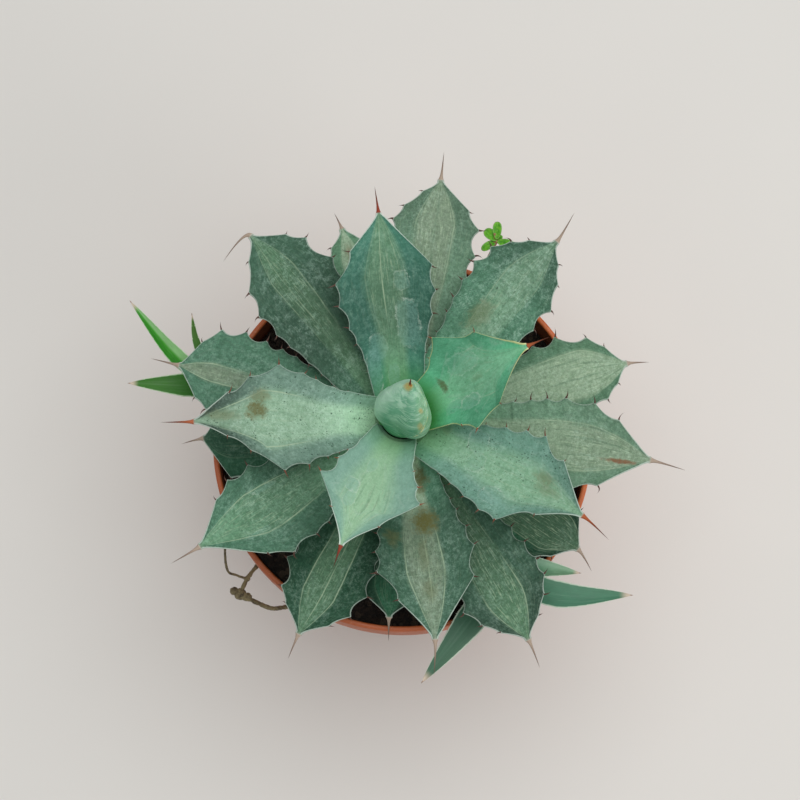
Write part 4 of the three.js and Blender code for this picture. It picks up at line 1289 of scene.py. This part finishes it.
def offsetLeaf(shape, leaf):
    # a channelled strap, thick along its keel, drawn out to a fine point, with saw teeth on both edges
    rows, columns, lastTooth = 90, 17, 0.86
    grainReach = 40  # length in mm that the look's grain is drawn to
    points, ways = curvePoints(leaf["path"], rows)
    shares = np.linspace(0, 1, rows)
    fan = np.sin(np.linspace(1, -1, columns) * math.pi / 2)
    spots = [*[(f, 1) for f in fan], *[(f, -1) for f in -fan[1:-1]]]
    rings, edges, alongs = [], [], []
    teeth = []
    for k, (point, way, share) in enumerate(zip(points, ways, shares)):
        side, up = crossways(way)
        swell = min(0.55 + share * 1.6, 1) * min(1, (1 - share) * 1.9) ** 0.75
        phase = share * leaf["teeth"] % 1
        width = max(leaf["half"] * swell + 0.16 * phase * swell, 0.16)
        depth = lerp(1.6, 0.5, share) * min(1, (1 - share) * 5 + 0.2)
        ring = []
        for f, face in spots:
            channel = leaf["keel"] * 2 * abs(f) ** 1.5 * min(1, width / 2)
            lift = channel if face > 0 else channel - 0.35 - depth * (1 - f * f)
            lift = channel - 0.17 if abs(f) > 0.995 else lift
            ring.append(point + side * f * width + up * lift)
        rings.append(ring)
        edges += [f for f, _ in spots]
        alongs += [share] * len(spots)
        nextTooth = int(share * leaf["teeth"]) > int(shares[k - 1] * leaf["teeth"])
        if k and nextTooth and share < lastTooth:
            for sign in (1, -1):
                lift = leaf["keel"] * 1.9 * min(1, width / 2) - 0.15
                foot = point + side * sign * (width - 0.25) + up * lift
                teeth.append((foot, unit(side * sign * 0.8 + way * 0.7), way))
    shape.add(
        loft(rings, points[-1] + ways[-1] * 0.8), edge=[*edges, 0], along=[*alongs, 1],
        tone=leaf["tone"], lit=leaf["lit"], old=leaf["old"],
        reach=[*np.array(alongs) * grainReach * leaf["tone"], grainReach],
    )
    for foot, out, way in teeth:
        sawTooth(shape, foot, out, way)


def sawTooth(shape, foot, out, way):
    up = unit(np.cross(out, way))
    rings = []
    for q in (0.0, 0.35, 0.7):
        size = 0.32 * (1 - q)
        rings.append([
            foot + out * q * 0.75 + size * (math.cos(angle) * way + 0.6 * math.sin(angle) * up)
            for angle in np.arange(6) / 6 * math.tau
        ])
    shape.add(loft(rings, foot + out * 0.95), edge=1.0, along=0.5, tone=1.0, reach=5.0)


def makeOffset(look):
    shape = Gathering("edge", "along", "tone", "reach", "lit", "old")
    shoot = rod(look["shoot"], look["shootRadius"], rows=30, sides=20, rough=0.08)
    shape.add(shoot, along=0.3, edge=0.0, tone=1.0)
    for leaf in look["leaves"]:
        offsetLeaf(shape, leaf)
    settle(shape.build(look["piece"], offsetSkin(look)), look["slot"], look["node"])


for look in offsetLook.values():
    makeOffset(look)
print("offsets made")


# The weed: a thin reddish stem with small oval leaflets

# A leaflet is x, y, z, azimuth, length and half width.
weedLook = {
    "stem": [(28, 58.6, 103), (28.2, 59.1, 117), (30, 64.1, 127.5), (33, 70.6, 132), (37.5, 79, 137)],
    "branch": [(35.4, 75.4, 135), (36.6, 79, 136.8), (36.4, 81.6, 138.2)],
    "leaflets": [
        (37.4, 79, 137.6, 88, 7.4, 2.1),
        (37.6, 78.8, 137.2, 140, 6.6, 2.5),
        (37.0, 78.8, 136.6, 214, 6.8, 1.9),
        (37.4, 78.6, 137.2, 341, 7.8, 2.3),
        (37.8, 78.8, 136.4, 55, 2.8, 1.1),
    ],
    "leaf": "64AC24",
    "deepLeaf": "46901C",
    "rim": "80B04E",
    "stemTone": "9A6A50",
    "stemRadius": 0.62,
    "branchRadius": 0.5,
    "sides": 36,
}


def weedLeafSkin():
    w = weedLook
    skin = Mixture("weedLeaf", w["leaf"])
    edge, along = skin.field("edge"), skin.field("along")
    mottle = skin.noise(skin.place(), 0.8, 3)
    skin.paint(w["deepLeaf"], skin.ramp(mottle, 0.35, 0.65))
    skin.paint(w["rim"], skin.ramp(edge, 0.72, 0.98), 0.7)
    vein = skin.times(skin.ramp(edge, 0.16, 0.02), skin.ramp(along, 0.95, 0.6))
    skin.paint(w["rim"], vein, 0.5)
    return skin.finish(0.42, skin.plus(vein, mottle), 0.15, 0.4, specular=0.3)


def weedStemSkin():
    skin = Mixture("weedStem", weedLook["stemTone"])
    grain = skin.noise(skin.place(), 1.2, 3)
    skin.shade(grain, 0.75, 1.2)
    return skin.finish(0.55, grain, 0.1, 0.4)


def leaflet(shape, x, y, z, azimuth, length, half):
    # a cupped oval, with rings from its middle out to a rounded rim on both faces
    turn = math.radians(azimuth)
    rings, edges, alongs = [], [], []
    sides = weedLook["sides"]
    steps = [(e, 1) for e in np.linspace(0.04, 1, 10)] + [(e, -1) for e in np.linspace(0.97, 0.04, 8)]
    for e, face in steps:
        for angle in np.arange(sides) / sides * math.tau:
            out = length / 2 * (1 + e * math.cos(angle))
            across = e * half * math.sin(angle) * (0.85 + 0.15 * math.cos(angle))
            lift = 0.5 * abs(across) + 0.3 * (1 - e * e) * face + 0.25 * (out / length) ** 2
            rings.append([
                x + out * math.cos(turn) - across * math.sin(turn),
                y + out * math.sin(turn) + across * math.cos(turn), z + lift,
            ])
            edges.append(e)
            alongs.append(out / length)
    shape.add(loft(np.array(rings).reshape(len(steps), sides, 3)), 1, edge=edges, along=alongs)


def makeWeed():
    shape = Gathering("edge", "along")
    shape.add(rod(weedLook["stem"], weedLook["stemRadius"], rows=60, sides=12, rough=0.1))
    shape.add(rod(weedLook["branch"], weedLook["branchRadius"], rows=20, sides=10, rough=0.1))
    for spec in weedLook["leaflets"]:
        leaflet(shape, *spec)
    settle(shape.build("weedSprig", weedStemSkin(), weedLeafSkin()), "weed", "weed_sprig")


makeWeed()
print("weed made")


# The dry stalk: dead, knobbly and grey-tan. A thin twig leads out of the soil over the rim, and carries
# a thicker piece that bends round below the pot's collar

# A knob is x, y, z and radius.
stalkLook = {
    "twig": [(-62.5, -24.5, 103), (-62.8, -24.9, 118), (-65.2, -28.6, 126.8), (-68.6, -32.2, 127.6),
             (-69.9, -42.9, 121), (-69.5, -49.6, 111), (-66.4, -51, 107.5), (-62.2, -52.2, 104.5)],
    "main": [(-57.8, -46.1, 103.4), (-62.2, -52.2, 104.5), (-64.9, -58.2, 103.5)],
    "run": [(-64.9, -58.2, 103.5), (-60.2, -60.6, 103), (-52.5, -63.7, 102), (-45.7, -63, 101)],
    "knobs": [(-64.9, -58.2, 103.5, 2.2), (-62.2, -59.3, 103, 1.7), (-67.2, -57, 104, 1.6),
              (-62.2, -52.2, 104.5, 1.1)],
    "twigRadius": 0.48,
    "knobRows": 16,
    "knobSides": 24,
    # the bark tones: the stalk's own grey-tan, darkened as painted shade for the shade it lies in
    "bark": "776C4E",
    "darkBark": "473C2A",
    "paleBark": "A59E74",
}


def stalkSkin():
    s = stalkLook
    skin = Mixture("dryStalkBark", s["bark"])
    place = skin.place()
    cloud = skin.noise(place, 0.25, 4, warp=0.8)
    grain = skin.noise(place, 1.6, 5, 0.7)
    skin.paint(s["darkBark"], skin.ramp(cloud, 0.4, 0.62))
    skin.paint(s["paleBark"], skin.ramp(grain, 0.52, 0.7), 0.6)
    return skin.finish(0.85, grain, 0.5, 0.8)


def knob(shape, x, y, z, radius):
    # a lumpy swelling, where a side shoot broke off
    rows, sides = stalkLook["knobRows"], stalkLook["knobSides"]
    points = []
    for level in np.linspace(-0.97, 0.97, rows):
        spread = math.sqrt(1 - level * level)
        for angle in np.arange(sides) / sides * math.tau:
            way = np.array([1.2 * spread * math.cos(angle), spread * math.sin(angle), 0.85 * level])
            lumps = 1 + 0.22 * noise.noise(Vector(way * 1.8) + Vector((x, y, z)))
            points.append(np.array([x, y, z]) + way * radius * lumps)
    shape.add(loft(np.array(points).reshape(rows, sides, 3)))


def makeStalk():
    s = stalkLook
    shape = Gathering()
    shape.add(rod(s["main"], lambda share: 0.8 + 0.1 * math.sin(share * 19), rows=40, sides=20, rough=0.3))
    shape.add(rod(s["run"], lambda share: 0.95 - 0.1 * share, rows=60, sides=20, rough=0.3, seed=1.0))
    shape.add(rod(s["twig"], s["twigRadius"], rows=140, sides=12, rough=0.25, seed=2.0))
    for place in s["knobs"]:
        knob(shape, *place)
    settle(shape.build("dryStalk", stalkSkin()), "dry_stalk", "dry_stalk")


makeStalk()
print("dry stalk made")


# The studio: a plain pale floor, one large soft light above, a weaker one at the side, and the camera

studio = {
    "floor": "D9D7D2",
    "floorSize": 6.0,
    "target": (-0.001, 0.0168, 0.125),  # metres, as are the sizes and places below
    "distance": 0.9,
    "fromUpright": 10.5,
    "lens": 102.06,
    "sensor": 36.0,
    "world": 0.46,
    "mainPower": 13.0,
    "mainSize": 1.3,
    "mainPlace": (0.2, 0.22, 1.45),
    "sidePower": 3.0,
    "sideSize": 0.7,
    "sidePlace": (0.9, -0.7, 0.9),
}


def softLight(name, place, size, power):
    lamp = bpy.data.lights.new(name, "AREA")
    lamp.size = size
    lamp.energy = power
    light = bpy.data.objects.new(name, lamp)
    light.location = place
    light.rotation_euler = (Vector(studio["target"]) - Vector(place)).to_track_quat("-Z", "Y").to_euler()
    bpy.context.scene.collection.objects.link(light)


def makeStudio():
    s = studio
    skin = Mixture("paleFloor", s["floor"])
    skin.shade(skin.noise(skin.place(), 0.01, 2), 0.98, 1.02)
    half = s["floorSize"] / 2 / mm
    corners = np.array([[-half, -half, 0], [half, -half, 0], [half, half, 0], [-half, half, 0]])
    ground = Gathering()
    ground.add((corners, [[0, 1, 2, 3]]))
    floor = ground.build("studioFloor", skin.finish(0.8))
    softLight("mainLight", s["mainPlace"], s["mainSize"], s["mainPower"])
    softLight("sideLight", s["sidePlace"], s["sideSize"], s["sidePower"])
    world = bpy.data.worlds.new("studioWorld")
    world.use_nodes = True
    sky = world.node_tree.nodes["Background"]
    sky.inputs["Color"].default_value = (1.0, 1.0, 1.0, 1.0)
    sky.inputs["Strength"].default_value = s["world"]
    bpy.context.scene.world = world
    bpy.context.scene.view_settings.view_transform = "Standard"
    tilt = math.radians(s["fromUpright"])
    eye = bpy.data.cameras.new("photoCamera")
    eye.lens = s["lens"]
    eye.sensor_width = s["sensor"]
    eye.clip_start, eye.clip_end = 0.01, 50
    camera = bpy.data.objects.new("photoCamera", eye)
    away = Vector((0, -math.sin(tilt), math.cos(tilt))) * s["distance"]
    camera.location = Vector(s["target"]) + away
    camera.rotation_euler = (tilt, 0, 0)
    bpy.context.scene.collection.objects.link(camera)
    bpy.context.scene.camera = camera


makeStudio()
print("studio made")

# Bring the scene up to date
bpy.context.view_layer.update()
